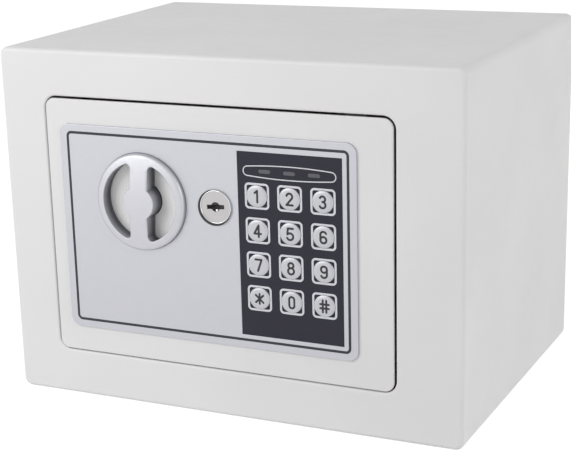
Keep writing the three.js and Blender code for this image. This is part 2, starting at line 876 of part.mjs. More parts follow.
function plungerSpring() {
  const radius = plungerRadius + touchGap + 2 * springWire;
  const bottom = solenoidTop + springWire + snugGap;
  const height = springRoom - 2 * (springWire + snugGap);
  class Helix extends THREE.Curve {
    getPoint(t) {
      const turn = 2 * Math.PI * springTurns * t;
      return new THREE.Vector3(radius * Math.cos(turn), radius * Math.sin(turn), height * t);
    }
  }
  const section = new THREE.Shape();
  section.absarc(0, 0, springWire, 0, 2 * Math.PI);
  const wire = new THREE.ExtrudeGeometry(section, {
    extrudePath: new Helix(),
    steps: 12 * springTurns,
    curveSegments: 3,
    bevelEnabled: false,
  });
  return wire.translate(knob.x, plungerY, bottom);
}

// Override lock
function lockBarrel() {
  const rimFront = panelFront - lockRimProud;
  const recessFloor = rimFront + lockRecessDepth;
  const bore = plugRadius + touchGap;
  const rear = panelFront + lockLength;
  return turnedY([
    [bore, recessFloor],
    [lockRecessRadius, recessFloor],
    [lockRecessRadius, rimFront],
    [lockRimRadius, rimFront],
    [lockRimRadius, panelFront],
    [lockShankRadius, panelFront],
    [lockShankRadius, rear],
    [bore, rear],
    [bore, recessFloor],
  ], lock.x, lock.z);
}

function barrelNut() {
  const shape = new THREE.Shape();
  for (let i = 0; i < 6; i += 1) {
    const angle = Math.PI / 6 + i * Math.PI / 3;
    const x = lock.x + nutCorner * Math.cos(angle);
    const z = lock.z + nutCorner * Math.sin(angle);
    if (i === 0) shape.moveTo(x, z);
    else shape.lineTo(x, z);
  }
  shape.closePath();
  return cut(
    plate(shape, doorBack, doorBack + nutThick),
    rodY(lockShankRadius + touchGap, lock.x, lock.z, doorBack - cutPast, doorBack + nutThick + cutPast),
  );
}

function lockPlug() {
  const faceBack = panelFront - lockRimProud + lockRecessDepth - touchGap;
  const faceFront = faceBack - plugFaceThick;
  const rear = panelFront + lockLength + plugOverrun;
  const body = turnedY([
    [0, faceFront],
    [plugFaceRadius, faceFront],
    [plugFaceRadius, faceBack],
    [plugRadius, faceBack],
    [plugRadius, rear],
    [0, rear],
  ], lock.x, lock.z);
  const keyhole = join(
    block(
      lock.x - keyholeWidth / 2, lock.x + keyholeWidth / 2,
      faceFront - cutPast, faceFront + keyholeDepth,
      lock.z - keyholeHeight / 2, lock.z + keyholeHeight / 2,
    ),
    rodY(keyholeBulge, lock.x, lock.z, faceFront - cutPast, faceFront + keyholeDepth, smallSides),
  );
  return cut(body, keyhole);
}

function plugCam() {
  const y0 = panelFront + lockLength + plugOverrun;
  const shape = new THREE.Shape();
  shape.absarc(lock.x, lock.z, camHalfWidth, 0, Math.PI);
  shape.lineTo(lock.x - camHalfWidth, lock.z - camLength);
  shape.lineTo(lock.x + camHalfWidth, lock.z - camLength);
  shape.closePath();
  return plate(shape, y0, y0 + camThick, 6);
}

// Power and the door's inner side
function holderInside() {
  return {
    x0: holder.x - holderInsideWidth / 2,
    x1: holder.x + holderInsideWidth / 2,
    z0: holder.z - holderInsideHeight / 2,
    z1: holder.z + holderInsideHeight / 2,
  };
}

function batteryHolder() {
  const inside = holderInside();
  const outside = grown(inside, holderWall);
  return cut(
    block(outside.x0, outside.x1, holderFront, coverFront, outside.z0, outside.z1),
    block(inside.x0, inside.x1, holderFront + holderWall, coverFront + cutPast, inside.z0, inside.z1),
  );
}

// A cell lies along X, turned end for end from its neighbour
function cell(i) {
  const z = holder.z + (i - (cellCount - 1) / 2) * cellPitch;
  const total = cellLength + cellTipLength;
  const points = [
    [0, -total / 2],
    [cellRadius, -total / 2],
    [cellRadius, cellLength - total / 2],
    [cellTipRadius, cellLength - total / 2],
    [cellTipRadius, total / 2],
    [0, total / 2],
  ];
  const geometry = turnedX(points, 0, 0);
  if (i % 2 === 1) geometry.rotateZ(Math.PI);
  return geometry.translate(holder.x, cellY, z);
}

function backCover() {
  const inside = holderInside();
  const screwHoles = trayCorners().map(screwPlace).map(({ x, z }) => rodY(
    screwShankRadius + touchGap, x, z, coverFront - cutPast, coverBack + cutPast, smallSides,
  ));
  return cut(
    roundedPlate(tray, trayRound, coverFront, coverBack),
    block(inside.x0, inside.x1, coverFront - cutPast, coverBack + cutPast, inside.z0, inside.z1),
    rodY(resetRadius + touchGap, reset.x, reset.z, coverFront - cutPast, coverBack + cutPast),
    ...screwHoles,
  );
}

function batteryLid() {
  const inside = holderInside();
  const outside = grown(inside, lidLap);
  const plug = grown(inside, -touchGap);
  const gripZ = outside.z1 - 2 * lidLap;
  return cut(
    join(
      block(outside.x0, outside.x1, coverBack, coverBack + lidThick, outside.z0, outside.z1),
      block(plug.x0, plug.x1, coverFront, coverBack + lidThick / 2, plug.z0, plug.z1),
    ),
    slot(
      holder.x - 2 * lidLap, holder.x + 2 * lidLap, gripZ, lidLap,
      coverBack + lidThick - lidGripDepth, coverBack + lidThick + cutPast,
    ),
  );
}

function resetButton() {
  const flangeBack = coverFront - touchGap;
  const flangeFront = flangeBack - resetFlangeThick;
  return turnedY([
    [0, flangeFront - resetStem],
    [resetRadius - resetFlange, flangeFront - resetStem],
    [resetRadius - resetFlange, flangeFront],
    [resetRadius + resetFlange, flangeFront],
    [resetRadius + resetFlange, flangeBack],
    [resetRadius, flangeBack],
    [resetRadius, coverBack + resetProud],
    [0, coverBack + resetProud],
  ], reset.x, reset.z);
}

function coverScrew(corner) {
  const { x, z } = screwPlace(corner);
  return turnedY([
    [0, coverBack - screwLength],
    [screwShankRadius, coverBack - screwLength],
    [screwShankRadius, coverBack],
    [screwHeadRadius, coverBack],
    [screwHeadTopRadius, coverBack + screwHeadHeight],
    [0, coverBack + screwHeadHeight],
  ], x, z, smallSides);
}

// Finishes
const paint = { color: 0xe6e5e5, roughness: 0.45, metalness: 0 };
const silverPlastic = { color: 0xc9c9cf, roughness: 0.4, metalness: 0.3 };
const satinMetal = { color: 0xd4d4d8, roughness: 0.35, metalness: 0.7 };
const darkPlastic = { color: 0x3a3842, roughness: 0.5, metalness: 0 };
const lensPlastic = { color: 0x5a5a62, roughness: 0.3, metalness: 0 };
const creamPlastic = { color: 0xe9e7e0, roughness: 0.5, metalness: 0 };
const chrome = { color: 0xdcdcdc, roughness: 0.12, metalness: 1 };
const zincSteel = { color: 0xb9bcc0, roughness: 0.4, metalness: 0.9 };
const boardGreen = { color: 0x2c5a3a, roughness: 0.5, metalness: 0 };
const blackPlastic = { color: 0x222225, roughness: 0.5, metalness: 0 };
const redPlastic = { color: 0xb02a26, roughness: 0.4, metalness: 0 };
const cellSleeve = { color: 0x33483a, roughness: 0.4, metalness: 0.2 };
const felt = { color: 0x55565a, roughness: 0.95, metalness: 0 };

const safe = new THREE.Group();

function add(name, geometry, finish) {
  const mesh = new THREE.Mesh(geometry, new THREE.MeshStandardMaterial(finish));
  mesh.name = name;
  safe.add(mesh);
}

add('case_shell', caseShell(), paint);
add('back_panel', backPanel(), paint);
add('door_jamb', doorJamb(), paint);
add('hinge_bracket_upper', hingeBracket(1), zincSteel);
add('hinge_bracket_lower', hingeBracket(-1), zincSteel);
add('floor_mat', floorMat(), felt);

add('door_plate', doorPlate(), paint);
add('door_tray', doorTray(), paint);
add('hinge_pin_upper', hingePin(1), zincSteel);
add('hinge_pin_lower', hingePin(-1), zincSteel);
add('lock_panel', lockPanel(), silverPlastic);
add('keypad_plate', keypadPlate(), darkPlastic);
lensPlaces().forEach((place) => add(`indicator_lens_${place.name}`, indicatorLens(place), lensPlastic));
keyPlaces().forEach((place) => add(`key_${place.name}`, key(place), silverPlastic));
add('circuit_board', circuitBoard(), boardGreen);
add('buzzer', buzzer(), blackPlastic);

add('knob_well', knobWell(), creamPlastic);
add('knob', turningKnob(), satinMetal);
add('knob_spindle', knobSpindle(), zincSteel);
add('crank_arm', crankArm(), zincSteel);
add('lock_chassis', lockChassis(), zincSteel);
add('bolt_carriage', boltCarriage(), zincSteel);
add('bolt_upper', bolt(boltHeights.upper), chrome);
add('bolt_lower', bolt(boltHeights.lower), chrome);
guides.forEach((guide) => add(`carriage_clip_${guide.name}`, retainingClip(guide), zincSteel));
add('solenoid', solenoidBody(), zincSteel);
add('solenoid_plunger', plunger(), zincSteel);
add('plunger_spring', plungerSpring(), zincSteel);

add('lock_barrel', lockBarrel(), chrome);
add('barrel_nut', barrelNut(), zincSteel);
add('lock_plug', lockPlug(), satinMetal);
add('plug_cam', plugCam(), zincSteel);

add('battery_holder', batteryHolder(), blackPlastic);
for (let i = 0; i < cellCount; i += 1) add(`cell_${i + 1}`, cell(i), cellSleeve);
add('back_cover', backCover(), paint);
add('battery_lid', batteryLid(), blackPlastic);
add('reset_button', resetButton(), redPlastic);
trayCorners().forEach((corner) => add(`cover_screw_${corner.name}`, coverScrew(corner), zincSteel));

export default safe;
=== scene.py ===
# The looks of a small keypad safe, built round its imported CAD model.
import json
import math

import bmesh
import bpy
from mathutils import Matrix, Vector

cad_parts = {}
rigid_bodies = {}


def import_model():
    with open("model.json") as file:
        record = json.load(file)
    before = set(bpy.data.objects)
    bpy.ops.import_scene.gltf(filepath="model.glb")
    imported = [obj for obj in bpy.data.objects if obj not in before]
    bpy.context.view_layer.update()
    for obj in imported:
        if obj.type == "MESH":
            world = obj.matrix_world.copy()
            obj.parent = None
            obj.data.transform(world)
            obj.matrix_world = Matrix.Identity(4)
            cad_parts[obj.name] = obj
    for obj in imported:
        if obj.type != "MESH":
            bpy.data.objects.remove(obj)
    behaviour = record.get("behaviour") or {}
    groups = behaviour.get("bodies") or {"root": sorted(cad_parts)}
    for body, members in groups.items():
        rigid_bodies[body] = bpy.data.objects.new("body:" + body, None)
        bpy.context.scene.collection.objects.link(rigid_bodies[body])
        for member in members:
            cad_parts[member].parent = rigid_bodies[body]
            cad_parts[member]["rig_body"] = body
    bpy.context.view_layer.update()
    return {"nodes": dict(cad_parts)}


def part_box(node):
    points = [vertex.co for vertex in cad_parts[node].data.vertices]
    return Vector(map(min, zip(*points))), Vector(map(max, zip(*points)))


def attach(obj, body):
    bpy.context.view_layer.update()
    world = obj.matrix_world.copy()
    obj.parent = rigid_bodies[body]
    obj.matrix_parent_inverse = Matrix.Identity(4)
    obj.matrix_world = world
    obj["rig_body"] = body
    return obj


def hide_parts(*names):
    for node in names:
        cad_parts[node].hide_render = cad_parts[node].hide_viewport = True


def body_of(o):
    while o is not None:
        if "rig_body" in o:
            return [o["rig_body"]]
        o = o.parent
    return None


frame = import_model()

MM = 0.001
MERGE = 0.001 * MM
QUARTER = math.pi / 2
FULL = 2 * math.pi

# How finely round shapes are made
ROLL_STEPS = 4
CORNER_STEPS = 12
RING_STEPS = 96
KEY_SIDES = 48
SMALL_SIDES = 32
KEY_FALL_STEPS = 6
BEAD_STEPS = 6
EASE_STEPS = 2
FINE_EASE_STEPS = 3
SMOOTH_ANGLE = math.radians(35)
CHAMFER_ANGLE = math.radians(25)
FLAT_ANGLE = math.radians(1)
CUT_PAST = 1 * MM

# Case and door sheet
TOUCH = 0.3 * MM
SHEET = 1.2 * MM
CASE_CORNER = 4 * MM
CASE_EDGE = 2 * MM
MOUTH_CORNER = 6 * MM
MOUTH_EDGE = 1.1 * MM
BACK_FLANGE = 14 * MM
BACK_CORNER = 0.5 * MM
BACK_EDGE = 0.3 * MM
ANCHOR_RADIUS = 5 * MM
ANCHOR_OFFSET = 60 * MM
DOOR_CORNER = 4.6 * MM
DOOR_EDGE = 0.6 * MM
DOOR_BACK_EDGE = 1.9 * MM

# Front panel
PANEL_CORNER = 5 * MM
PANEL_EDGE = 0.3 * MM
WELL_HOLE_EDGE = 0.15 * MM
STRIPE_WIDTH = 1.25 * MM
STRIPE_CORNER = 2.6 * MM
STRIPE_LEFT = 3.6 * MM
STRIPE_RIGHT = 3.35 * MM
STRIPE_BELOW = 3.4 * MM
STRIPE_ABOVE = 3.3 * MM
PRINT_THICK = 0.03 * MM

# Keypad
PAD_EDGE = 0.12 * MM
PAD_CORNER = 0.25 * MM
PAD_FLANGE = 5 * MM
PAD_FLANGE_THICK = 1.5 * MM
PAD_FLANGE_BITE = 0.3 * MM
PAD_DOOR_GAP = 0.15 * MM
PAD_PANEL_GAP = 0.05 * MM
KEY_HOLE = 5.2 * MM
KEY_HOLE_EDGE = 0.08 * MM
KEY_FLANGE_THICK = 0.8 * MM
KEY_RADIUS = 5.1 * MM
KEY_FLAT = 3.5 * MM
KEY_FALL = 0.28 * MM
KEY_EDGE = 0.3 * MM
KEY_FRAME = 12 * MM
KEY_FRAME_CORNER = 2 * MM
KEY_FRAME_LINE = 1.0 * MM
KEY_FRAME_PROUD = 0.15 * MM
KEY_FRAME_GAP = 0.02 * MM
FRAME_EDGE = 0.06 * MM
LENS_LENGTH = 6 * MM
LENS_HEIGHT = 1.9 * MM
LENS_PROUD = 0.1 * MM
LENS_GAP = 0.08 * MM
LENS_EDGE = 0.25 * MM
LIGHTS_HALF_LENGTH = 22.6 * MM
LIGHTS_HALF_HEIGHT = 3.3 * MM
LIGHTS_END = 2.4 * MM
LIGHTS_LINE = 0.5 * MM
PEN = 0.98 * MM
SYMBOL_SHIFT = 0.2 * MM
PRINT_SINK = 0.02 * MM

# Knob and well
WELL_WALL = 1.4 * MM
WELL_FLOOR_THICK = 1.5 * MM
WELL_HOLE = 8.25 * MM
WELL_EASE = 0.2 * MM
WELL_GAP = 0.12 * MM
KNOB_RADIUS = 23 * MM
KNOB_EDGE = 1.3 * MM
KNOB_BACK_EDGE = 0.4 * MM
KNOB_CROWN = 2.1 * MM
KNOB_LEAN = math.radians(2.4)
# Painted shade in the knob: its colour darkens between these depths behind the face, within this reach of
# its axis, for the shade down the finger windows
KNOB_PAINTED_SHADE_START = 1.65 * MM
KNOB_PAINTED_SHADE_END = 6 * MM
KNOB_PAINTED_SHADE_REACH = 20 * MM
WINDOW_RADIUS = 19.05 * MM
WINDOW_FILLET = 2 * MM
WINDOW_EDGE = 0.4 * MM
WINDOW_BACK_EDGE = 0.2 * MM
BAR_HALF = 4.65 * MM
HUB_RADIUS = 8.0 * MM
HUB_NECK = 7.9 * MM
SPINDLE_BORE = 4.3 * MM
SPINDLE_IN_HUB = 6.6 * MM
CROWN_SLICE = 2 * MM

# Lock
LOCK_PROUD = 0.8 * MM
COLLAR_RADIUS = 8.45 * MM
COLLAR_WALL = 0.1 * MM
COLLAR_SLOPE = 0.15 * MM
COLLAR_EASE = 0.04 * MM
# Collar and seal sit off-centre so the black seal shows as a crescent at the lower left: a painted shadow
# beside the bezel
SHADOW_CRESCENT_SHIFT = Vector((-0.45, 0, -0.42)) * MM
SHADOW_SEAL_SINK = 0.05 * MM
BEZEL_RADIUS = 7.78 * MM
BEZEL_BEAD = 0.22 * MM
BEZEL_BORE = 7.36 * MM
FACE_RADIUS = 7.3 * MM
FACE_SINK = 0.3 * MM
PLUG_FACE_THICK = 0.5 * MM
PLUG_RADIUS = 5 * MM
PLUG_EASE = 0.1 * MM
SHANK_RADIUS = 7 * MM
KEYHOLE_WIDTH = 8.8 * MM
KEYHOLE_HEIGHT = 2.0 * MM
KEYHOLE_BULGE = 2.25 * MM
KEYHOLE_DEPTH = 8 * MM
KEYHOLE_CORNER = 0.15 * MM
KEYHOLE_LEAN = math.radians(-3.5)
SHUTTER_SINK = 0.5 * MM
SHUTTER_THICK = 0.5 * MM
SHUTTER_RADIUS = 2.1 * MM
WARD_RADIUS = 0.85 * MM
WARD_SIDE = 0.45 * MM
WARD_DROP = 1.7 * MM

# Bolts, cover screws and reset button
BOLT_CHAMFER = 1.5 * MM
BOLT_EASE = 0.4 * MM
SCREW_SHANK_RADIUS = 1.3 * MM
SCREW_HEAD_HEIGHT = 1.6 * MM
SCREW_HEAD_STEPS = ((1, 0.4 * MM), (0.86, 1.05 * MM), (0.6, 1.45 * MM), (0.3, SCREW_HEAD_HEIGHT))
SCREW_SLOT_HALF = 0.4 * MM
SCREW_SLOT_REACH = 1.6 * MM
SCREW_SLOT_DEPTH = 0.9 * MM
SCREW_SLOT_CORNER = 0.1 * MM
RESET_RADIUS = 3 * MM
RESET_STEM_RADIUS = 1.5 * MM
RESET_FLANGE_THICK = 1.2 * MM
RESET_DOME = ((1, 0.2 * MM), (0.7, 0.05 * MM), (0, 0))
RESET_EASE = 0.2 * MM

# Grain, patch and shade sizes of the finishes, and how far their roughness strays
PAINT_ROUGHNESS = 0.42
PAINT_PEEL = 1.3 * MM
PAINT_PEEL_DEPTH = 0.05 * MM
PAINT_PATCH = 9 * MM
PAINT_SHADE = 60 * MM
MOULD_GRAIN = 0.25 * MM
MOULD_DEPTH = 0.006 * MM
MOULD_PATCH = 4 * MM
MOULD_SHADE = 25 * MM
METAL_GRAIN = 0.5 * MM
METAL_DEPTH = 0.002 * MM
METAL_PATCH = 6 * MM
METAL_SHADE = 20 * MM
FLAKE = 0.3 * MM
FLAKE_DEPTH = 0.004 * MM
FLAKE_SHADE = 0.35 * MM
LACQUER_PATCH = 5 * MM
FELT_GRAIN = 0.6 * MM
FELT_DEPTH = 0.35 * MM
FELT_SHADE = 1.5 * MM
NOISE_MIDDLE = (0.3, 0.7)
SATIN_STRAY = (-0.04, 0.06)
METAL_STRAY = (-0.03, 0.05)
LACQUER_STRAY = (-0.04, 0.04)

# Stage and lamps
FLOOR_RADIUS = 12
FLOOR_SIDES = 64
FLOOR_SHADE = 0.8
FLOOR_ROUGHNESS = 0.9
FLOOR_SPECULAR = 0.1
FLOOR_GLOW = 0.62
ROOM_LIGHT = 0.5
LAMP_AIM = Vector((-0.02, -0.085, 0.09))

# Camera
CAMERA_PLACE = Vector((0.3162, -0.6991, 0.2788))
CAMERA_AZIMUTH = math.radians(26.649)
CAMERA_DROP = math.radians(17.023)
CAMERA_ROLL = math.radians(-1.914)
CAMERA_LENS = 99.235
CAMERA_SHIFT = (0.0802, 0.0947)


# Small help with colours and boxes
def linear(code):
    """The linear colour of a plain web colour."""
    parts = [int(code[i:i + 2], 16) / 255 for i in (1, 3, 5)]
    return [p / 12.92 if p <= 0.04045 else ((p + 0.055) / 1.055) ** 2.4 for p in parts] + [1]


def spans(node):
    """A node's x, y and z limits as three pairs."""
    low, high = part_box(node)
    return tuple(zip(low, high))


def middle(node):
    """The middle of a node's box."""
    low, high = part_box(node)
    return (low + high) / 2


# Outlines, each a function of growth that gives arcs as (x, z, radius, start, end)
def rounded_rect(x_span, z_span, radius):
    """A rectangle with round corners."""
    def arcs(growth):
        r = radius + growth
        right, left = x_span[1] - radius, x_span[0] + radius
        top, bottom = z_span[1] - radius, z_span[0] + radius
        return [
            (right, bottom, r, -QUARTER, 0),
            (right, top, r, 0, QUARTER),
            (left, top, r, QUARTER, 2 * QUARTER),
            (left, bottom, r, 2 * QUARTER, 3 * QUARTER),
        ]
    return arcs


def square(x, z, half, radius):
    """A square with round corners about a middle."""
    return rounded_rect((x - half, x + half), (z - half, z + half), radius)


def circle(x, z, radius):
    """A full circle."""
    def arcs(growth):
        return [(x, z, radius + growth, 0, FULL)]
    return arcs


def stadium(x, z, length, height):
    """A bar with half-round ends."""
    radius = height / 2
    reach = (length - height) / 2

    def arcs(growth):
        return [
            (x + reach, z, radius + growth, -QUARTER, QUARTER),
            (x - reach, z, radius + growth, QUARTER, 3 * QUARTER),
        ]
    return arcs


def bowed_oval(x, z):
    """The long lens shape round the three indicator lights."""
    chord = LIGHTS_HALF_LENGTH - LIGHTS_END
    sag = LIGHTS_HALF_HEIGHT - LIGHTS_END
    bow = (chord ** 2 + sag ** 2) / (2 * sag)
    lean = math.asin(chord / bow)

    def arcs(growth):
        return [
            (x + chord, z, LIGHTS_END + growth, lean - QUARTER, QUARTER - lean),
            (x, z + LIGHTS_HALF_HEIGHT - bow, bow + growth, QUARTER - lean, QUARTER + lean),
            (x - chord, z, LIGHTS_END + growth, QUARTER + lean, 3 * QUARTER - lean),
            (x, z - LIGHTS_HALF_HEIGHT + bow, bow + growth, 3 * QUARTER - lean, 3 * QUARTER + lean),
        ]
    return arcs


def finger_window(turn):
    """One of the knob's two finger windows, a D cut back round the hub; turn is 0 or half a turn."""
    side_x = BAR_HALF + WINDOW_FILLET
    side_z = math.sqrt((WINDOW_RADIUS - WINDOW_FILLET) ** 2 - side_x ** 2)
    rim_angle = math.atan2(side_z, side_x)
    way = round(math.cos(turn))

    def arcs(growth):
        hub_angle = math.acos((BAR_HALF - growth) / (HUB_RADIUS - growth))
        fillet = WINDOW_FILLET + growth
        return [
            (0, 0, WINDOW_RADIUS + growth, turn - rim_angle, turn + rim_angle),
            (way * side_x, way * side_z, fillet, turn + rim_angle, turn + 2 * QUARTER),
            (0, 0, HUB_RADIUS - growth, turn + hub_angle, turn - hub_angle),
            (way * side_x, -way * side_z, fillet, turn + 2 * QUARTER, turn + FULL - rim_angle),
        ]
    return arcs


def arc_steps(turn):
    """How many steps an arc of that turn gets."""
    return max(CORNER_STEPS, math.ceil(CORNER_STEPS * abs(turn) / QUARTER))


def draw_loop(bm, arcs, y):
    """A closed loop through the arcs, at depth y; gives its edges."""
    old_edges = set(bm.edges)
    old_verts = set(bm.verts)
    ends = []
    for x, z, radius, start, end in arcs:
        turn = end - start
        steps = RING_STEPS if abs(turn) > 3 * QUARTER else arc_steps(turn)
        first = bm.verts.new((x + radius * math.cos(start), y, z + radius * math.sin(start)))
        arc = bmesh.ops.spin(
            bm, geom=[first], cent=(x, y, z), axis=(0, -1, 0), angle=turn, steps=steps,
            use_merge=False, use_duplicate=False,
        )
        last = next(item for item in arc["geom_last"] if isinstance(item, bmesh.types.BMVert))
        ends.append((first, last))
    for i, (_, last) in enumerate(ends):
        following = ends[(i + 1) % len(ends)][0]
        if (following.co - last.co).length > MERGE:
            bm.edges.new((last, following))
    bmesh.ops.remove_doubles(bm, verts=[v for v in bm.verts if v not in old_verts], dist=MERGE)
    return [edge for edge in bm.edges if edge not in old_edges]


# Bodies made from outlines
def roll(radius):
    """(drawn in, set back) from a face round its edge to the side."""
    if radius == 0:
        return [(0, 0)]
    angles = [QUARTER * i / ROLL_STEPS for i in range(ROLL_STEPS + 1)]
    return [(radius * (1 - math.sin(a)), radius * (1 - math.cos(a))) for a in angles]


def rolled_steps(y_front, y_back, front_round, back_round, side):
    """(growth, depth) from the front face to the back face; side is -1 for a hole."""
    front = [(-side * inset, y_front + drop) for inset, drop in roll(front_round)]
    rear = [(-side * inset, y_back - drop) for inset, drop in reversed(roll(back_round))]
    return front + rear


def loft(bm, outline, steps):
    """Bridges the outline's loops from step to step; gives the first and the last loop."""
    loops = [draw_loop(bm, outline(growth), y) for growth, y in steps]
    for loop, following in zip(loops, loops[1:]):
        bmesh.ops.bridge_loops(bm, edges=loop + following)
    return loops[0], loops[-1]


def fill(bm, *loops):
    """Fills the flat space between an outer loop and any loops inside it."""
    edges = [edge for loop in loops for edge in loop]
    made = bmesh.ops.triangle_fill(bm, edges=edges, use_beauty=True, use_dissolve=False)
    return [item for item in made["geom"] if isinstance(item, bmesh.types.BMFace)]


def plate(outline, y_span, front_round=0, back_round=0, holes=()):
    """A flat body with rolled edges; holes are (outline, front round, back round)."""
    bm = bmesh.new()
    ends = [loft(bm, outline, rolled_steps(*y_span, front_round, back_round, 1))]
    ends += [loft(bm, hole, rolled_steps(*y_span, *rounds, -1)) for hole, *rounds in holes]
    fill(bm, *(front for front, _ in ends))
    fill(bm, *(rear for _, rear in ends))
    return bm


def spun(profile, centre, axis="Y", sides=SMALL_SIDES):
    """Turns a profile of (radius, place along the axis) round an axis through centre."""
    along = Vector([name == axis for name in "XYZ"])
    sideways = Vector((0, 0, 1)) if axis == "X" else Vector((1, 0, 0))
    level = centre - along * centre.dot(along)
    bm = bmesh.new()
    verts = [bm.verts.new(level + sideways * radius + along * place) for radius, place in profile]
    edges = [bm.edges.new(pair) for pair in zip(verts, verts[1:])]
    bmesh.ops.spin(
        bm, geom=verts + edges, cent=level, axis=along, angle=FULL, steps=sides,
        use_merge=True, use_duplicate=False,
    )
    return bm


def close_up(bm):
    """Joins the seams and turns the faces outwards."""
    bmesh.ops.remove_doubles(bm, verts=bm.verts, dist=MERGE)
    bmesh.ops.recalc_face_normals(bm, faces=bm.faces)


def ease(bm, width, segments=EASE_STEPS, angle=SMOOTH_ANGLE):
    """Rounds every edge that is sharper than the angle."""
    close_up(bm)
    sharp = [e for e in bm.edges if e.is_manifold and e.calc_face_angle() > angle]
    bmesh.ops.bevel(
        bm, geom=sharp, offset=width, offset_type="OFFSET", segments=segments, profile=0.5,
        affect="EDGES", clamp_overlap=True, material=-1,
    )
    return bm


def combined(bm, tool, operation):
    """An exact boolean of two closed bodies; both are used up."""
    parts = []
    for body in (bm, tool):
        close_up(body)
        mesh = bpy.data.meshes.new("part")
        body.to_mesh(mesh)
        body.free()
        part = bpy.data.objects.new("part", mesh)
        bpy.context.collection.objects.link(part)
        parts.append(part)
    change = parts[0].modifiers.new("join", "BOOLEAN")
    change.operation = operation
    change.solver = "EXACT"
    change.object = parts[1]
    depsgraph = bpy.context.evaluated_depsgraph_get()
    result = bmesh.new()
    result.from_mesh(parts[0].evaluated_get(depsgraph).to_mesh())
    for part in parts:
        mesh = part.data
        bpy.data.objects.remove(part)
        bpy.data.meshes.remove(mesh)
    return result


def gathered(bodies):
    """Several separate bodies in one mesh."""
    whole = bmesh.new()
    for body in bodies:
        mesh = bpy.data.meshes.new("part")
        body.to_mesh(mesh)
        body.free()
        whole.from_mesh(mesh)
        bpy.data.meshes.remove(mesh)
    return whole


# Materials
class Finish:
    """A procedural material under construction."""

    def __init__(self, name, colour, roughness, metallic=0.0, **values):
        self.material = bpy.data.materials.new(name)
        self.material.use_nodes = True
        self.tree = self.material.node_tree
        self.surface = self.tree.nodes["Principled BSDF"]
        self.place = self.tree.nodes.new("ShaderNodeTexCoord").outputs["Object"]
        self.surface.inputs["Base Color"].default_value = linear(colour)
        self.surface.inputs["Roughness"].default_value = roughness
        self.surface.inputs["Metallic"].default_value = metallic
        for socket, value in values.items():
            self.surface.inputs[socket.replace("_", " ")].default_value = value

    def node(self, kind, **values):
        """A new node with these settings."""
        made = self.tree.nodes.new(kind)
        for name, value in values.items():
            setattr(made, name, value)
        return made

    def link(self, source, target):
        """Joins two sockets."""
        self.tree.links.new(source, target)

    def noise(self, size, detail=3.0):
        """Noise whose grains are about that size."""
        noise = self.node("ShaderNodeTexNoise")
        noise.inputs["Scale"].default_value = 1 / size
        noise.inputs["Detail"].default_value = detail
        self.link(self.place, noise.inputs["Vector"])
        return noise.outputs["Fac"]

    def spread(self, source, source_span, low=0.0, high=1.0):
        """The source's span stretched to low and high."""
        stretch = self.node("ShaderNodeMapRange")
        stretch.inputs["From Min"].default_value, stretch.inputs["From Max"].default_value = source_span
        stretch.inputs["To Min"].default_value = low
        stretch.inputs["To Max"].default_value = high
        self.link(source, stretch.inputs["Value"])
        return stretch.outputs["Result"]

    def blend(self, share, first, second):
        """Mixes two colours, each a web colour or a socket, into the base colour."""
        mix = self.node("ShaderNodeMix", data_type="RGBA")
        sockets = [socket for socket in mix.inputs if socket.type == "RGBA"]
        for socket, colour in zip(sockets, (first, second)):
            if isinstance(colour, str):
                socket.default_value = linear(colour)
            else:
                self.link(colour, socket)
        self.link(share, mix.inputs[0])
        result = next(socket for socket in mix.outputs if socket.type == "RGBA")
        self.link(result, self.surface.inputs["Base Color"])
        return self

    def drift(self, first, second, size, detail):
        """Lets the base colour drift between two shades in patches of that size."""
        return self.blend(self.spread(self.noise(size, detail), NOISE_MIDDLE), first, second)

    def vary_roughness(self, patch, roughness, stray):
        """Lets the roughness stray below and above its value in patches of that size."""
        low, high = (roughness + change for change in stray)
        strayed = self.spread(self.noise(patch), NOISE_MIDDLE, low, high)
        self.link(strayed, self.surface.inputs["Roughness"])
        return self

    def paint_shade_inside(self, centre, reach, depth_span, colour):
        """Paints shade into the base colour: sinks it to a darker one from depth to depth, within reach of
        an axis along Y.
        """
        parts = self.node("ShaderNodeSeparateXYZ")
        self.link(self.place, parts.inputs[0])
        shade_by_depth = self.spread(parts.outputs["Y"], depth_span)
        flat = self.node("ShaderNodeVectorMath", operation="MULTIPLY")
        flat.inputs[1].default_value = (1, 0, 1)
        self.link(self.place, flat.inputs[0])
        from_axis = self.node("ShaderNodeVectorMath", operation="DISTANCE")
        from_axis.inputs[1].default_value = centre
        self.link(flat.outputs["Vector"], from_axis.inputs[0])
        inside = self.node("ShaderNodeMath", operation="LESS_THAN")
        inside.inputs[1].default_value = reach
        self.link(from_axis.outputs["Value"], inside.inputs[0])
        share = self.node("ShaderNodeMath", operation="MULTIPLY")
        self.link(shade_by_depth, share.inputs[0])
        self.link(inside.outputs[0], share.inputs[1])
        bare = self.surface.inputs["Base Color"].links[0].from_socket
        return self.blend(share.outputs[0], bare, colour)

    def bump(self, source, height):
        """Raises the surface by the source."""
        bump = self.node("ShaderNodeBump")
        bump.inputs["Distance"].default_value = height
        self.link(source, bump.inputs["Height"])
        self.link(bump.outputs["Normal"], self.surface.inputs["Normal"])
        return self


def painted(name, colour, shade):
    """Powder paint with a fine orange peel."""
    finish = Finish(name, colour, PAINT_ROUGHNESS)
    finish.bump(finish.noise(PAINT_PEEL, detail=1.5), PAINT_PEEL_DEPTH)
    finish.vary_roughness(PAINT_PATCH, PAINT_ROUGHNESS, SATIN_STRAY)
    return finish.drift(colour, shade, PAINT_SHADE, detail=1)


def moulded(name, colour, shade, roughness, **values):
    """Moulded plastic with a fine grain."""
    finish = Finish(name, colour, roughness, **values)
    finish.bump(finish.noise(MOULD_GRAIN, detail=2), MOULD_DEPTH)
    finish.vary_roughness(MOULD_PATCH, roughness, SATIN_STRAY)
    return finish.drift(colour, shade, MOULD_SHADE, detail=1)


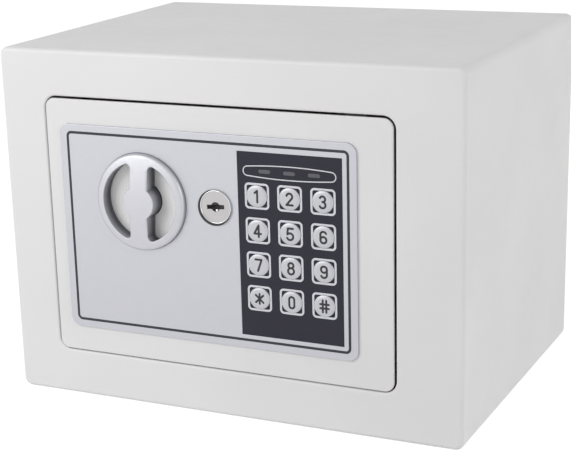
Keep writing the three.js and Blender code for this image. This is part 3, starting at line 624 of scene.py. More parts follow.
def metal(name, colour, shade, roughness, grain=METAL_GRAIN, depth=METAL_DEPTH):
    """Plated or satin metal with faint working marks."""
    finish = Finish(name, colour, roughness, metallic=1.0)
    finish.bump(finish.noise(grain, detail=2), depth)
    finish.vary_roughness(METAL_PATCH, roughness, METAL_STRAY)
    return finish.drift(colour, shade, METAL_SHADE, detail=1)


def silver_paint(name, colour, shade, roughness, metallic):
    """Metallic silver lacquer: a soft metal look with fine flake."""
    finish = Finish(name, colour, roughness, metallic)
    finish.bump(finish.noise(FLAKE, detail=2), FLAKE_DEPTH)
    finish.vary_roughness(LACQUER_PATCH, roughness, LACQUER_STRAY)
    return finish.drift(colour, shade, FLAKE_SHADE, detail=2)


def felt_mat():
    """Pressed grey felt."""
    finish = Finish("felt", "#55565A", roughness=0.95, Sheen_Weight=0.35, Sheen_Roughness=0.5)
    finish.bump(finish.noise(FELT_GRAIN, detail=6), FELT_DEPTH)
    return finish.drift("#4A4B4F", "#626368", FELT_SHADE, detail=6)


knob_front = spans("knob")[1][0]
knob_axis = Vector((middle("knob_well").x, 0, middle("knob_well").z))
knob_painted_shade_depths = (knob_front + KNOB_PAINTED_SHADE_START, knob_front + KNOB_PAINTED_SHADE_END)
FINISHES = {
    "white_paint": painted("white_paint", "#E7E6E6", "#E3E2E2"),
    "silver_panel": silver_paint("silver_panel", "#BABAC0", "#B6B6BC", roughness=0.42, metallic=0.7),
    # The knob's silver sinks to #68686E deep in its windows, a painted shade where the window walls fall
    # into shadow
    "silver_knob": silver_paint(
        "silver_knob", "#BCBCC1", "#B8B8BD", roughness=0.46, metallic=0.8,
    ).paint_shade_inside(knob_axis, KNOB_PAINTED_SHADE_REACH, knob_painted_shade_depths, "#68686E"),
    "silver_key": silver_paint("silver_key", "#BEBEC3", "#BABABF", roughness=0.4, metallic=0.45),
    "dark_plastic": moulded("dark_plastic", "#262530", "#282733", roughness=0.5, Specular_IOR_Level=0.25),
    "lens_plastic": moulded("lens_plastic", "#504F57", "#57565E", roughness=0.3),
    "cream_plastic": moulded("cream_plastic", "#FCFCFB", "#FAFAF8", roughness=0.5, Specular_IOR_Level=1.0),
    "chrome": metal("chrome", "#DDDDDE", "#D8D8DA", roughness=0.08, grain=2 * MM, depth=0.001 * MM),
    "satin_metal": metal("satin_metal", "#ADABAB", "#A9A7A8", roughness=0.36, grain=0.4 * MM),
    "plated_steel": metal(
        "plated_steel", "#BFC1C4", "#B2B5BA", roughness=0.34, grain=0.8 * MM, depth=0.004 * MM,
    ),
    "board": moulded("board", "#2C5A3A", "#264F33", roughness=0.45),
    "black_plastic": moulded("black_plastic", "#1A1A1C", "#1F1F22", roughness=0.48),
    "red_plastic": moulded("red_plastic", "#B02A26", "#A82723", roughness=0.38),
    "cell_sleeve": moulded("cell_sleeve", "#33483A", "#2E4134", roughness=0.32),
    "felt": felt_mat(),
}
PRINT = moulded("dark_print", "#1B1B24", "#1E1E27", roughness=0.55).material
# Dark steel for the hinge brackets and pins; its darkness is partly painted shade, so the door's top gap
# reads black where they show through it
HINGE_STEEL_GAP_SHADE = metal("hinge_steel_gap_shade", "#4A4A4D", "#454548", roughness=0.5).material
FRAME_PRINT = silver_paint(
    "frame_print", "#C8C8CE", "#C4C4CA", roughness=0.4, metallic=0.45,
).material
DIGIT_PRINT = moulded("digit_print", "#1C1C22", "#1F1F25", roughness=0.55).material


def piece(name, bm, body, slot, *nodes, material=None, flat=False):
    """Closes a body up as a shown piece that rides a CAD body and stands for its nodes."""
    close_up(bm)
    mesh = bpy.data.meshes.new(name)
    bm.to_mesh(mesh)
    bm.free()
    mesh.shade_smooth()
    mesh.set_sharp_from_angle(angle=SMOOTH_ANGLE)
    mesh.materials.append(material or FINISHES[slot].material)
    made = bpy.data.objects.new(name, mesh)
    bpy.context.collection.objects.link(made)
    if flat:
        weighted = made.modifiers.new("even faces", "WEIGHTED_NORMAL")
        weighted.keep_sharp = True
    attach(made, body)
    if nodes:
        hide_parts(*nodes)
    return made


def eased_copy(node, width, slot, material=None):
    """A copy of a CAD node with its sharp edges eased, in place of the node."""
    source = frame["nodes"][node]
    bm = bmesh.new()
    bm.from_mesh(source.data)
    bmesh.ops.remove_doubles(bm, verts=bm.verts, dist=MERGE)
    bmesh.ops.dissolve_limit(
        bm, angle_limit=FLAT_ANGLE, verts=bm.verts, edges=bm.edges, delimit=set(),
    )
    ease(bm, width)
    return piece(f"{node}_eased", bm, body_of(source)[0], slot, node, material=material, flat=True)


# Case
def case_shell():
    """The folded shell, with the door's mouth, the open back and the floor's anchor holes."""
    x_span, y_span, z_span = spans("case_shell")
    inner_x = (x_span[0] + SHEET, x_span[1] - SHEET)
    inner_z = (z_span[0] + SHEET, z_span[1] - SHEET)
    back_x = (x_span[0] + BACK_FLANGE, x_span[1] - BACK_FLANGE)
    back_z = (z_span[0] + BACK_FLANGE, z_span[1] - BACK_FLANGE)
    front_inside, back_inside = y_span[0] + SHEET, y_span[1] - SHEET
    bm = bmesh.new()
    outer = loft(
        bm, rounded_rect(x_span, z_span, CASE_CORNER), rolled_steps(*y_span, CASE_EDGE, CASE_EDGE, 1),
    )
    mouth = loft(bm, door_mouth(), rolled_steps(y_span[0], front_inside, MOUTH_EDGE, 0, -1))
    inner = loft(
        bm, rounded_rect(inner_x, inner_z, CASE_CORNER - SHEET), [(0, front_inside), (0, back_inside)],
    )
    rear = loft(
        bm, rounded_rect(back_x, back_z, BACK_CORNER),
        rolled_steps(back_inside, y_span[1], 0, BACK_EDGE, -1),
    )
    fill(bm, outer[0], mouth[0])
    fill(bm, mouth[1], inner[0])
    fill(bm, inner[1], rear[0])
    fill(bm, rear[1], outer[1])
    low, high = z_span[0] - SHEET, z_span[0] + 2 * SHEET
    drill = [(0, low), (ANCHOR_RADIUS, low), (ANCHOR_RADIUS, high), (0, high)]
    drills = [spun(drill, Vector((x, 0, 0)), "Z", KEY_SIDES) for x in (-ANCHOR_OFFSET, ANCHOR_OFFSET)]
    shell = combined(bm, gathered(drills), "DIFFERENCE")
    piece("case_body", shell, "case", "white_paint", "case_shell", flat=True)


def door_mouth():
    """The outline of the opening that the door closes."""
    x_span, _, z_span = spans("door_jamb")
    return rounded_rect(
        (x_span[0] + SHEET, x_span[1] - SHEET), (z_span[0] + SHEET, z_span[1] - SHEET), MOUTH_CORNER,
    )


# Door and front panel
def pad_window(growth):
    """The outline of the keypad's shown field, grown all round and without its flange."""
    x_span, _, z_span = spans("keypad_plate")
    return rounded_rect(
        (x_span[0] - growth, x_span[1] - PAD_FLANGE + growth),
        (z_span[0] + PAD_FLANGE - growth, z_span[1] - PAD_FLANGE + growth), PAD_CORNER,
    )


def door_plate():
    """The steel door, with holes for the knob's well, the lock and the keypad."""
    x_span, y_span, z_span = spans("door_plate")
    well, lock = middle("knob_well"), middle("lock_barrel")
    holes = [
        (circle(well.x, well.z, KNOB_RADIUS + WELL_GAP + WELL_WALL + TOUCH), 0, 0),
        (circle(lock.x, lock.z, SHANK_RADIUS + TOUCH), 0, 0),
        (pad_window(PAD_DOOR_GAP), 0, 0),
    ]
    body = plate(rounded_rect(x_span, z_span, DOOR_CORNER), y_span, DOOR_EDGE, DOOR_BACK_EDGE, holes)
    piece("door_front", body, "door", "white_paint", "door_plate", flat=True)


def lock_panel():
    """The silver panel and its printed pinstripe."""
    x_span, y_span, z_span = spans("lock_panel")
    well, lock = middle("knob_well"), middle("lock_barrel")
    holes = [
        (circle(well.x, well.z, KNOB_RADIUS + WELL_GAP), WELL_HOLE_EDGE, 0),
        (circle(lock.x, lock.z, SHANK_RADIUS + TOUCH), 0, 0),
        (pad_window(PAD_PANEL_GAP), PAD_EDGE, 0),
    ]
    body = plate(rounded_rect(x_span, z_span, PANEL_CORNER), y_span, PANEL_EDGE, 0, holes)
    piece("front_panel", body, "door", "silver_panel", "lock_panel", flat=True)
    stripe_x = (x_span[0] + STRIPE_LEFT, x_span[1] - STRIPE_RIGHT)
    stripe_z = (z_span[0] + STRIPE_BELOW, z_span[1] - STRIPE_ABOVE)
    inner_x = (stripe_x[0] + STRIPE_WIDTH, stripe_x[1] - STRIPE_WIDTH)
    inner_z = (stripe_z[0] + STRIPE_WIDTH, stripe_z[1] - STRIPE_WIDTH)
    stripe = plate(
        rounded_rect(stripe_x, stripe_z, STRIPE_CORNER), (y_span[0] - PRINT_THICK, y_span[0]),
        holes=[(rounded_rect(inner_x, inner_z, STRIPE_CORNER - STRIPE_WIDTH), 0, 0)],
    )
    piece("panel_pinstripe", stripe, "door", "dark_plastic", material=PRINT, flat=True)


# Keypad
KEYS = ["1", "2", "3", "4", "5", "6", "7", "8", "9", "star", "0", "hash"]
LENSES = ["left", "middle", "right"]


def keypad_plate():
    """The dark field with its key and light holes, and the flange behind the door."""
    x_span, y_span, z_span = spans("keypad_plate")
    front = y_span[0]
    flange_front = spans("door_plate")[1][1]
    rear = flange_front + PAD_FLANGE_THICK
    key_holes = [(circle(*places_of(f"key_{name}"), KEY_HOLE), KEY_HOLE_EDGE, 0) for name in KEYS]
    lens_holes = [(lens_outline(name, LENS_GAP), 0, 0) for name in LENSES]
    field = plate(pad_window(0), (front, rear), PAD_EDGE, 0, key_holes + lens_holes)
    flange = plate(
        rounded_rect(x_span, z_span, PAD_CORNER), (flange_front, rear),
        holes=[(pad_window(-PAD_FLANGE_BITE), 0, 0)],
    )
    body = combined(field, flange, "UNION")
    piece("keypad_field", body, "door", "dark_plastic", "keypad_plate", flat=True)


def places_of(node):
    """A node's middle in x and z."""
    at = middle(node)
    return at.x, at.z


def lens_outline(name, growth):
    """The outline of one light's window, grown all round."""
    x, z = places_of(f"indicator_lens_{name}")
    return stadium(x, z, LENS_LENGTH + 2 * growth, LENS_HEIGHT + 2 * growth)


def key_frames():
    """The silver rounded squares printed round the keys, cut by the key holes."""
    front = spans("keypad_plate")[1][0]
    depth = (front - KEY_FRAME_PROUD, front)
    frames = []
    drills = []
    half = KEY_FRAME / 2
    inner = half - KEY_FRAME_LINE
    for name in KEYS:
        x, z = places_of(f"key_{name}")
        outside = square(x, z, half, KEY_FRAME_CORNER)
        inside = square(x, z, inner, KEY_FRAME_CORNER - KEY_FRAME_LINE)
        frames.append(plate(outside, depth, FRAME_EDGE, holes=[(inside, FRAME_EDGE, 0)]))
        drills.append(plate(circle(x, z, KEY_HOLE + KEY_FRAME_GAP), (front - CUT_PAST, front + CUT_PAST)))
    body = combined(gathered(frames), gathered(drills), "DIFFERENCE")
    piece("key_frames", body, "door", "silver_key", material=FRAME_PRINT, flat=True)


def indicator_lights():
    """The outline printed round the three lights, and their lenses."""
    front = spans("keypad_plate")[1][0]
    x, z = places_of("indicator_lens_middle")
    shape = bowed_oval(x, z)

    def inside(growth):
        return shape(growth - LIGHTS_LINE)
    ring = plate(shape, (front - KEY_FRAME_PROUD, front), FRAME_EDGE, holes=[(inside, FRAME_EDGE, 0)])
    piece("lights_frame", ring, "door", "silver_key", material=FRAME_PRINT, flat=True)
    for name in LENSES:
        node = f"indicator_lens_{name}"
        y_span = spans(node)[1]
        lens = plate(lens_outline(name, 0), (y_span[0] - LENS_PROUD, y_span[1]), LENS_EDGE)
        piece(f"lens_{name}", lens, "door", "lens_plastic", node)


def key_body(name):
    """A round cap with a flat middle that falls away to its edge, and a flange behind the field."""
    node = f"key_{name}"
    x_span, y_span, _ = spans(node)
    at = middle(node)
    face = y_span[0]
    flange_radius = (x_span[1] - x_span[0]) / 2
    flange_front = y_span[1] - KEY_FLANGE_THICK
    shoulder = KEY_RADIUS - KEY_EDGE
    shares = [i / KEY_FALL_STEPS for i in range(KEY_FALL_STEPS + 1)]
    slope = [(KEY_FLAT + (shoulder - KEY_FLAT) * s, face + KEY_FALL * s ** 2) for s in shares]
    edge = [
        (shoulder + KEY_EDGE * math.sin(a), face + KEY_FALL + KEY_EDGE * (1 - math.cos(a)))
        for a in (QUARTER * i / ROLL_STEPS for i in range(1, ROLL_STEPS + 1))
    ]
    profile = [(0, face)] + slope + edge + [
        (KEY_RADIUS, flange_front),
        (flange_radius, flange_front),
        (flange_radius, y_span[1]),
        (0, y_span[1]),
    ]
    piece(f"{node}_cap", spun(profile, at, "Y", KEY_SIDES), node, "silver_key", node)


# Pen strokes in mm about a key's middle, each an outline with round ends
def bar(x0, z0, x1, z1):
    """A straight stroke from one point to another."""
    lean = math.atan2(z1 - z0, x1 - x0)
    half = PEN / 2
    return [
        (x1 * MM, z1 * MM, half, lean - QUARTER, lean + QUARTER),
        (x0 * MM, z0 * MM, half, lean + QUARTER, lean + 3 * QUARTER),
    ]


def bow(x, z, radius, start, end):
    """A stroke along an arc, from one angle in degrees to another."""
    first, last = math.radians(start), math.radians(end)
    half = PEN / 2
    x, z, radius = x * MM, z * MM, radius * MM
    ends = [(x + radius * math.cos(a), z + radius * math.sin(a), half) for a in (first, last)]
    return [
        (x, z, radius + half, first, last),
        (*ends[1], last, last + 2 * QUARTER),
        (x, z, radius - half, last, first),
        (*ends[0], first + 2 * QUARTER, first + FULL),
    ]


SYMBOLS = {
    "1": [bar(0.25, -2.65, 0.25, 2.65), bar(0.25, 2.65, -0.95, 1.6)],
    "2": [bow(0, 1.25, 1.4, -38, 165), bar(1.1, 0.39, -1.5, -2.62), bar(-1.5, -2.62, 1.55, -2.62)],
    "3": [bow(-0.15, 1.38, 1.27, -90, 155), bow(-0.15, -1.25, 1.42, -155, 90)],
    "4": [bar(0.5, -2.65, 0.5, 2.65), bar(0.5, 2.65, -1.65, -1.2), bar(-1.65, -1.2, 1.6, -1.2)],
    "5": [
        bar(-1.1, 2.62, 1.35, 2.62), bar(-1.1, 2.62, -1.35, 0.1),
        bow(-0.1, -1.1, 1.55, -155, 142),
    ],
    "6": [
        bow(0, -1.2, 1.42, 0, 180), bow(0, -1.2, 1.42, 180, 360),
        bar(-1.42, -1.2, -1.42, 1.2), bow(0, 1.2, 1.42, 25, 180),
    ],
    "7": [bar(-1.5, 2.62, 1.5, 2.62), bar(1.5, 2.62, -0.35, -2.65)],
    "8": [
        bow(0, 1.42, 1.22, 0, 180), bow(0, 1.42, 1.22, 180, 360),
        bow(0, -1.2, 1.45, 0, 180), bow(0, -1.2, 1.45, 180, 360),
    ],
    "9": [
        bow(0, 1.2, 1.42, 0, 180), bow(0, 1.2, 1.42, 180, 360),
        bar(1.42, 1.2, 1.42, -1.2), bow(0, -1.2, 1.42, -155, 0),
    ],
    "0": [
        bow(0, 1.4, 1.25, 0, 180), bow(0, -1.4, 1.25, 180, 360),
        bar(-1.25, 1.4, -1.25, -1.4), bar(1.25, 1.4, 1.25, -1.4),
    ],
    "star": [bar(0, 2.3, 0, -2.3), bar(-1.85, 1.7, 1.85, -1.7), bar(-1.85, -1.7, 1.85, 1.7)],
    "hash": [
        bar(-0.85, -2.75, -0.85, 2.75), bar(0.85, -2.75, 0.85, 2.75),
        bar(-2.05, -0.95, 2.05, -0.95), bar(-2.05, 0.95, 2.05, 0.95),
    ],
}


def key_symbol(name):
    """The strokes of one key's figure, joined into a thin print on its cap."""
    node = f"key_{name}"
    x, z = places_of(node)
    face = spans(node)[1][0]
    depth = (face - PRINT_THICK, face + PRINT_SINK)

    def placed(stroke):
        moved = [(x + SYMBOL_SHIFT + at_x, z + at_z, *rest) for at_x, at_z, *rest in stroke]
        return plate(lambda growth: moved, depth)
    body, *others = [placed(stroke) for stroke in SYMBOLS[name]]
    for other in others:
        body = combined(body, other, "UNION")
    piece(f"{node}_symbol", body, node, "dark_plastic", material=DIGIT_PRINT, flat=True)


# Knob and well
def knob_well():
    """The cup that the knob turns in, with its flange behind the door."""
    x_span, y_span, _ = spans("knob_well")
    at = middle("knob_well")
    flange = (x_span[1] - x_span[0]) / 2
    inner = KNOB_RADIUS + WELL_GAP
    outer = inner + WELL_WALL
    floor = y_span[1] - WELL_FLOOR_THICK
    door_back = spans("door_plate")[1][1]
    profile = [
        (WELL_HOLE, floor),
        (inner, floor),
        (inner, y_span[0]),
        (outer, y_span[0]),
        (outer, door_back),
        (flange, door_back),
        (flange, y_span[1]),
        (WELL_HOLE, y_span[1]),
        (WELL_HOLE, floor),
    ]
    body = ease(spun(profile, at, "Y", RING_STEPS), WELL_EASE, FINE_EASE_STEPS)
    piece("knob_cup", body, "door", "cream_plastic", "knob_well")


def knob_body():
    """The domed disc with its two finger windows, its neck and the bore for the spindle."""
    face, hub_rear = spans("knob")[1]
    at = middle("knob_well")
    rear = spans("knob_well")[1][1] - WELL_FLOOR_THICK - TOUCH
    windows = [finger_window(turn) for turn in (0, math.pi)]
    bm = bmesh.new()
    rim = loft(bm, circle(0, 0, KNOB_RADIUS), rolled_steps(face, rear, KNOB_EDGE, KNOB_BACK_EDGE, 1))
    walls = [loft(bm, w, rolled_steps(face, rear, WINDOW_EDGE, WINDOW_BACK_EDGE, -1)) for w in windows]
    neck = loft(bm, circle(0, 0, HUB_NECK), [(0, rear), (0, hub_rear)])
    bore_end = hub_rear - SPINDLE_IN_HUB
    bore = loft(bm, circle(0, 0, SPINDLE_BORE), [(0, hub_rear), (0, bore_end)])
    top = fill(bm, rim[0], *(wall[0] for wall in walls))
    fill(bm, rim[1], neck[0], *(wall[1] for wall in walls))
    fill(bm, neck[1], bore[0])
    fill(bm, bore[1])
    crown(bm, top, face)
    place = Matrix.Translation((at.x, 0, at.z)) @ Matrix.Rotation(KNOB_LEAN, 4, "Y")
    bmesh.ops.transform(bm, matrix=place, verts=bm.verts)
    piece("knob_grip", bm, "knob", "silver_knob", "knob", flat=True)


def crown(bm, top, face):
    """Slices the flat top finely and lets it fall away towards its rim."""
    cuts = int(KNOB_RADIUS / CROWN_SLICE)
    parts = set(top)
    for normal in (Vector((1, 0, 0)), Vector((0, 0, 1))):
        for i in range(-cuts, cuts + 1):
            edges = {edge for part in parts for edge in part.edges}
            verts = {vert for part in parts for vert in part.verts}
            bmesh.ops.bisect_plane(
                bm, geom=[*parts, *edges, *verts], dist=MERGE,
                plane_co=normal * CROWN_SLICE * (i + 0.5) + Vector((0, face, 0)), plane_no=normal,
                clear_inner=False, clear_outer=False,
            )
            parts = {f for f in bm.faces if all(abs(v.co.y - face) < MERGE for v in f.verts)}
    for vert in bm.verts:
        if vert.co.y < face + 2 * KNOB_EDGE:
            reach = math.hypot(vert.co.x, vert.co.z) / KNOB_RADIUS
            vert.co.y += KNOB_CROWN * reach ** 2


# Lock
def lock_barrel():
    """The bright rim and its shank, and the collar and dark seal round the rim; both are set off-centre
    towards the lower left, so the black seal shows there as a crescent that is a painted shadow.
    """
    _, y_span, _ = spans("lock_barrel")
    at = middle("lock_barrel")
    panel_front = spans("lock_panel")[1][0]
    front = panel_front - LOCK_PROUD
    bead = [
        (BEZEL_RADIUS - BEZEL_BEAD + BEZEL_BEAD * math.sin(a), front + BEZEL_BEAD * (1 - math.cos(a)))
        for a in (QUARTER * i / BEAD_STEPS for i in range(-BEAD_STEPS, BEAD_STEPS + 1))
    ]
    floor = front + FACE_SINK + PLUG_FACE_THICK + TOUCH
    profile = [
        (PLUG_RADIUS + TOUCH, floor),
        (BEZEL_BORE, floor),
        *bead,
        (BEZEL_RADIUS, panel_front),
        (SHANK_RADIUS, panel_front),
        (SHANK_RADIUS, y_span[1]),
        (PLUG_RADIUS + TOUCH, y_span[1]),
        (PLUG_RADIUS + TOUCH, floor),
    ]
    piece("lock_bezel", spun(profile, at, "Y", RING_STEPS), "door", "chrome", "lock_barrel")
    shadow_seat = at + SHADOW_CRESCENT_SHIFT
    outer = COLLAR_RADIUS + COLLAR_WALL
    collar = spun(
        [(COLLAR_RADIUS, panel_front), (COLLAR_RADIUS, front), (outer, front),
         (outer + COLLAR_SLOPE, panel_front), (COLLAR_RADIUS, panel_front)],
        shadow_seat, "Y", RING_STEPS,
    )
    collar = ease(collar, COLLAR_EASE, FINE_EASE_STEPS, CHAMFER_ANGLE)
    piece("lock_collar", collar, "door", "silver_panel")
    # The black seal is partly a real seal and partly a painted shadow: its crescent stands in for the
    # shaded gap round the bezel
    shadow_seal = plate(
        circle(shadow_seat.x, shadow_seat.z, COLLAR_RADIUS), (front + SHADOW_SEAL_SINK, panel_front),
        holes=[(circle(at.x, at.z, BEZEL_RADIUS), 0, 0)],
    )
    piece("lock_seal_painted_shadow", shadow_seal, "door", "black_plastic")


def lock_plug():
    """The plug with its leaning keyhole, and the shutter and bright ward seen in it; the shutter is black,
    partly a painted shade for its sunken place in the keyhole.
    """
    y_span = spans("lock_plug")[1]
    at = middle("lock_barrel")
    face = spans("lock_panel")[1][0] - LOCK_PROUD + FACE_SINK
    bm = spun(
        [(0, face), (FACE_RADIUS, face), (FACE_RADIUS, face + PLUG_FACE_THICK),
         (PLUG_RADIUS, face + PLUG_FACE_THICK), (PLUG_RADIUS, y_span[1]), (0, y_span[1])],
        at, "Y", RING_STEPS,
    )
    depth = (face - CUT_PAST, face + KEYHOLE_DEPTH)
    slot_x = (at.x - KEYHOLE_WIDTH / 2, at.x + KEYHOLE_WIDTH / 2)
    slot_z = (at.z - KEYHOLE_HEIGHT / 2, at.z + KEYHOLE_HEIGHT / 2)
    hole = combined(
        plate(rounded_rect(slot_x, slot_z, KEYHOLE_CORNER), depth),
        plate(circle(at.x, at.z, KEYHOLE_BULGE), depth), "UNION",
    )
    lean = (
        Matrix.Translation((at.x, 0, at.z)) @ Matrix.Rotation(KEYHOLE_LEAN, 4, "Y")
        @ Matrix.Translation((-at.x, 0, -at.z))
    )
    bmesh.ops.transform(hole, matrix=lean, verts=hole.verts)
    plug = ease(combined(bm, hole, "DIFFERENCE"), PLUG_EASE)
    piece("lock_face", plug, "override_plug", "satin_metal", "lock_plug", flat=True)
    # The shutter is black plastic in place of shaded metal: partly painted shade inside the keyhole
    shutter_front = face + SHUTTER_SINK
    shutter = plate(shutter_outline(at.x, at.z), (shutter_front, shutter_front + SHUTTER_THICK))
    bmesh.ops.transform(shutter, matrix=lean, verts=shutter.verts)
    piece("keyhole_shutter_painted_shade", shutter, "override_plug", "black_plastic", flat=True)
    ward = bmesh.new()
    bmesh.ops.create_uvsphere(
        ward, u_segments=SMALL_SIDES, v_segments=CORNER_STEPS, radius=WARD_RADIUS,
        matrix=Matrix.Translation((at.x + WARD_SIDE, face + WARD_RADIUS, at.z - WARD_DROP)),
    )
    piece("keyhole_ward", ward, "override_plug", "chrome")


def shutter_outline(x, z):
    """The part of the keyhole's bulge above its slot."""
    lift = math.asin(KEYHOLE_HEIGHT / 2 / SHUTTER_RADIUS)

    def arcs(growth):
        return [(x, z, SHUTTER_RADIUS + growth, lift, 2 * QUARTER - lift)]
    return arcs


# Bolts, screws and the other round parts
def bolt(node):
    """A round bolt with a chamfered tip."""
    x_span, y_span, _ = spans(node)
    radius = (y_span[1] - y_span[0]) / 2
    profile = [
        (0, x_span[0]), (radius - BOLT_CHAMFER, x_span[0]), (radius, x_span[0] + BOLT_CHAMFER),
        (radius, x_span[1]), (0, x_span[1]),
    ]
    body = spun(profile, middle(node), "X", KEY_SIDES)
    body = ease(body, BOLT_EASE, FINE_EASE_STEPS, CHAMFER_ANGLE)
    piece(f"{node}_bar", body, "bolts", "chrome", node)


def cover_screw(node):
    """A round-headed screw with a cross slot."""
    x_span, y_span, _ = spans(node)
    at = middle(node)
    radius = (x_span[1] - x_span[0]) / 2
    head = y_span[1] - SCREW_HEAD_HEIGHT
    profile = [
        (0, y_span[0]), (SCREW_SHANK_RADIUS, y_span[0]), (SCREW_SHANK_RADIUS, head), (radius, head),
        *((radius * share, head + height) for share, height in SCREW_HEAD_STEPS), (0, y_span[1]),
    ]
    depth = (y_span[1] - SCREW_SLOT_DEPTH, y_span[1] + CUT_PAST)
    across, upright = [
        plate(rounded_rect((at.x - x, at.x + x), (at.z - z, at.z + z), SCREW_SLOT_CORNER), depth)
        for x, z in ((SCREW_SLOT_REACH, SCREW_SLOT_HALF), (SCREW_SLOT_HALF, SCREW_SLOT_REACH))
    ]
    cross = combined(across, upright, "UNION")
    body = combined(spun(profile, at, "Y", SMALL_SIDES), cross, "DIFFERENCE")
    piece(f"{node}_head", body, "door", "plated_steel", node)


def reset_button():
    """A stem, a flange behind the cover and a cap with a faint dome."""
    x_span, y_span, _ = spans("reset_button")
    at = middle("reset_button")
    flange_back = spans("back_cover")[1][0] - TOUCH
    flange_front = flange_back - RESET_FLANGE_THICK
    flange = (x_span[1] - x_span[0]) / 2
    profile = [
        (0, y_span[0]), (RESET_STEM_RADIUS, y_span[0]), (RESET_STEM_RADIUS, flange_front),
        (flange, flange_front), (flange, flange_back), (RESET_RADIUS, flange_back),
        *((RESET_RADIUS * share, y_span[1] - drop) for share, drop in RESET_DOME),
    ]
    body = ease(spun(profile, at, "Y", KEY_SIDES), RESET_EASE, FINE_EASE_STEPS)
    piece("reset_cap", body, "reset_button", "red_plastic", "reset_button")


# Nodes that only need their edges eased: the width in mm and the finish
EASED = {
    "back_panel": (0.35, "white_paint"),
    "door_jamb": (0.3, "white_paint"),
    "hinge_bracket_upper": (0.3, "plated_steel"),
    "hinge_bracket_lower": (0.3, "plated_steel"),
    "floor_mat": (0.3, "felt"),
    "door_tray": (0.25, "white_paint"),
    "hinge_pin_upper": (0.3, "plated_steel"),
    "hinge_pin_lower": (0.3, "plated_steel"),
    "circuit_board": (0.1, "board"),
    "buzzer": (0.4, "black_plastic"),
    "knob_spindle": (0.3, "plated_steel"),
    "crank_arm": (0.25, "plated_steel"),
    "lock_chassis": (0.25, "plated_steel"),
    "bolt_carriage": (0.25, "plated_steel"),
    "carriage_clip_upper": (0.12, "plated_steel"),
    "carriage_clip_lower": (0.12, "plated_steel"),
    "solenoid": (0.6, "plated_steel"),
    "solenoid_plunger": (0.25, "plated_steel"),
    "barrel_nut": (0.3, "plated_steel"),
    "plug_cam": (0.25, "plated_steel"),
    "battery_holder": (0.3, "black_plastic"),
    **{f"cell_{i}": (0.4, "cell_sleeve") for i in range(1, 5)},
    "back_cover": (0.3, "white_paint"),
    "battery_lid": (0.3, "black_plastic"),
}


# Stage, lights and camera
def backdrop_material():
    """White to the eye and to reflections, plain diffuse to the rest."""
    material = bpy.data.materials.new("pale_floor")
    material.use_nodes = True
    tree = material.node_tree
    surface = tree.nodes["Principled BSDF"]
    surface.inputs["Base Color"].default_value = (FLOOR_SHADE, FLOOR_SHADE, FLOOR_SHADE, 1)
    surface.inputs["Roughness"].default_value = FLOOR_ROUGHNESS
    surface.inputs["Specular IOR Level"].default_value = FLOOR_SPECULAR
    surface.inputs["Emission Color"].default_value = (1, 1, 1, 1)
    seen = ray_switch(tree, FLOOR_GLOW)
    tree.links.new(seen, surface.inputs["Emission Strength"])
    return material


def ray_switch(tree, strength):
    """The strength for camera, glossy and transmission rays, and nothing for the rest."""
    path = tree.nodes.new("ShaderNodeLightPath")
    total = path.outputs["Is Camera Ray"]
    for name in ("Is Glossy Ray", "Is Transmission Ray"):
        add = tree.nodes.new("ShaderNodeMath")
        add.operation = "MAXIMUM"
        tree.links.new(total, add.inputs[0])
        tree.links.new(path.outputs[name], add.inputs[1])
        total = add.outputs[0]
    scale = tree.nodes.new("ShaderNodeMath")
    scale.operation = "MULTIPLY"
    scale.inputs[1].default_value = strength
    tree.links.new(total, scale.inputs[0])
    return scale.outputs[0]


def make_stage():
    """A wide round floor."""
    bm = bmesh.new()
    bmesh.ops.create_circle(bm, cap_ends=True, radius=FLOOR_RADIUS, segments=FLOOR_SIDES)
    mesh = bpy.data.meshes.new("floor")
    bm.to_mesh(mesh)
    bm.free()
    mesh.materials.append(backdrop_material())
    floor = bpy.data.objects.new("floor", mesh)
    bpy.context.collection.objects.link(floor)


def make_world():
    """Soft light from all round, and white to the eye and to reflections."""
    world = bpy.data.worlds.new("soft_room")
    bpy.context.scene.world = world
    world.use_nodes = True
    tree = world.node_tree
    sky = tree.nodes["Background"]
    sky.inputs["Color"].default_value = (1, 1, 1, 1)
    seen = ray_switch(tree, 1 - ROOM_LIGHT)
    total = tree.nodes.new("ShaderNodeMath")
    total.operation = "ADD"
    total.inputs[1].default_value = ROOM_LIGHT
    tree.links.new(seen, total.inputs[0])
    tree.links.new(total.outputs[0], sky.inputs["Strength"])


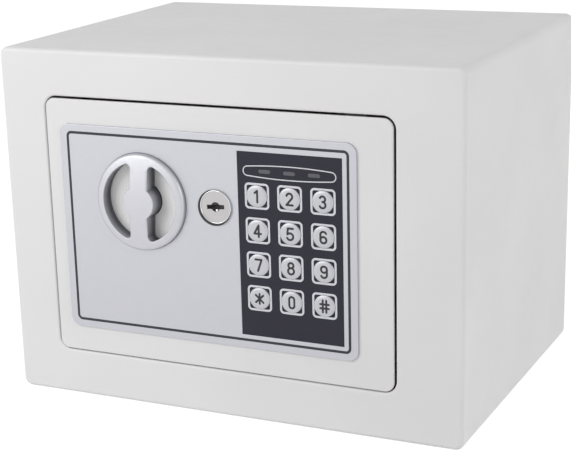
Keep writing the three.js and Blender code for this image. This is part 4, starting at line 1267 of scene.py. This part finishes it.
def soft_lamp(name, azimuth, elevation, distance, side, level):
    """A square lamp aimed at the safe, turned to the right of its front and raised by so many degrees.

    The level is how bright the lamp makes a white sheet at the safe.
    """
    turn, rise = math.radians(azimuth), math.radians(elevation)
    level_way = Vector((math.sin(turn), -math.cos(turn), 0))
    way = level_way * math.cos(rise) + Vector((0, 0, math.sin(rise)))
    data = bpy.data.lights.new(name, "AREA")
    data.shape = "SQUARE"
    data.size = side
    data.energy = level * math.pi ** 2 * distance ** 2
    lamp = bpy.data.objects.new(name, data)
    lamp.location = LAMP_AIM + way * distance
    lamp.rotation_euler = way.to_track_quat("Z", "Y").to_euler()
    bpy.context.collection.objects.link(lamp)


def make_camera():
    """The camera at the photograph's viewing angle."""
    data = bpy.data.cameras.new("camera")
    data.lens = CAMERA_LENS
    data.shift_x, data.shift_y = CAMERA_SHIFT
    camera = bpy.data.objects.new("camera", data)
    turn = (
        Matrix.Rotation(CAMERA_AZIMUTH, 4, "Z") @ Matrix.Rotation(QUARTER - CAMERA_DROP, 4, "X")
        @ Matrix.Rotation(CAMERA_ROLL, 4, "Z")
    )
    camera.matrix_world = Matrix.Translation(CAMERA_PLACE) @ turn
    bpy.context.collection.objects.link(camera)
    bpy.context.scene.camera = camera


case_shell()
door_plate()
lock_panel()
keypad_plate()
key_frames()
indicator_lights()
for key_name in KEYS:
    key_body(key_name)
    key_symbol(key_name)
knob_well()
knob_body()
lock_barrel()
lock_plug()
bolt("bolt_upper")
bolt("bolt_lower")
for corner in ("upper_left", "upper_right", "lower_left", "lower_right"):
    cover_screw(f"cover_screw_{corner}")
reset_button()
# Hinge parts take the dark hinge steel, partly painted shade for the door's top gap, in place of their
# finish in the table
for node_name, (width, slot_name) in EASED.items():
    eased_copy(node_name, width * MM, slot_name, HINGE_STEEL_GAP_SHADE if "hinge" in node_name else None)
spring = frame["nodes"]["plunger_spring"]
spring.data.materials[0] = FINISHES["plated_steel"].material

make_stage()
make_world()
soft_lamp("left_lamp", azimuth=-35, elevation=25, distance=0.75, side=0.5, level=0.46)
soft_lamp("right_lamp", azimuth=80, elevation=15, distance=2.2, side=1.2, level=0.25)
make_camera()
bpy.context.scene.view_settings.view_transform = "Standard"
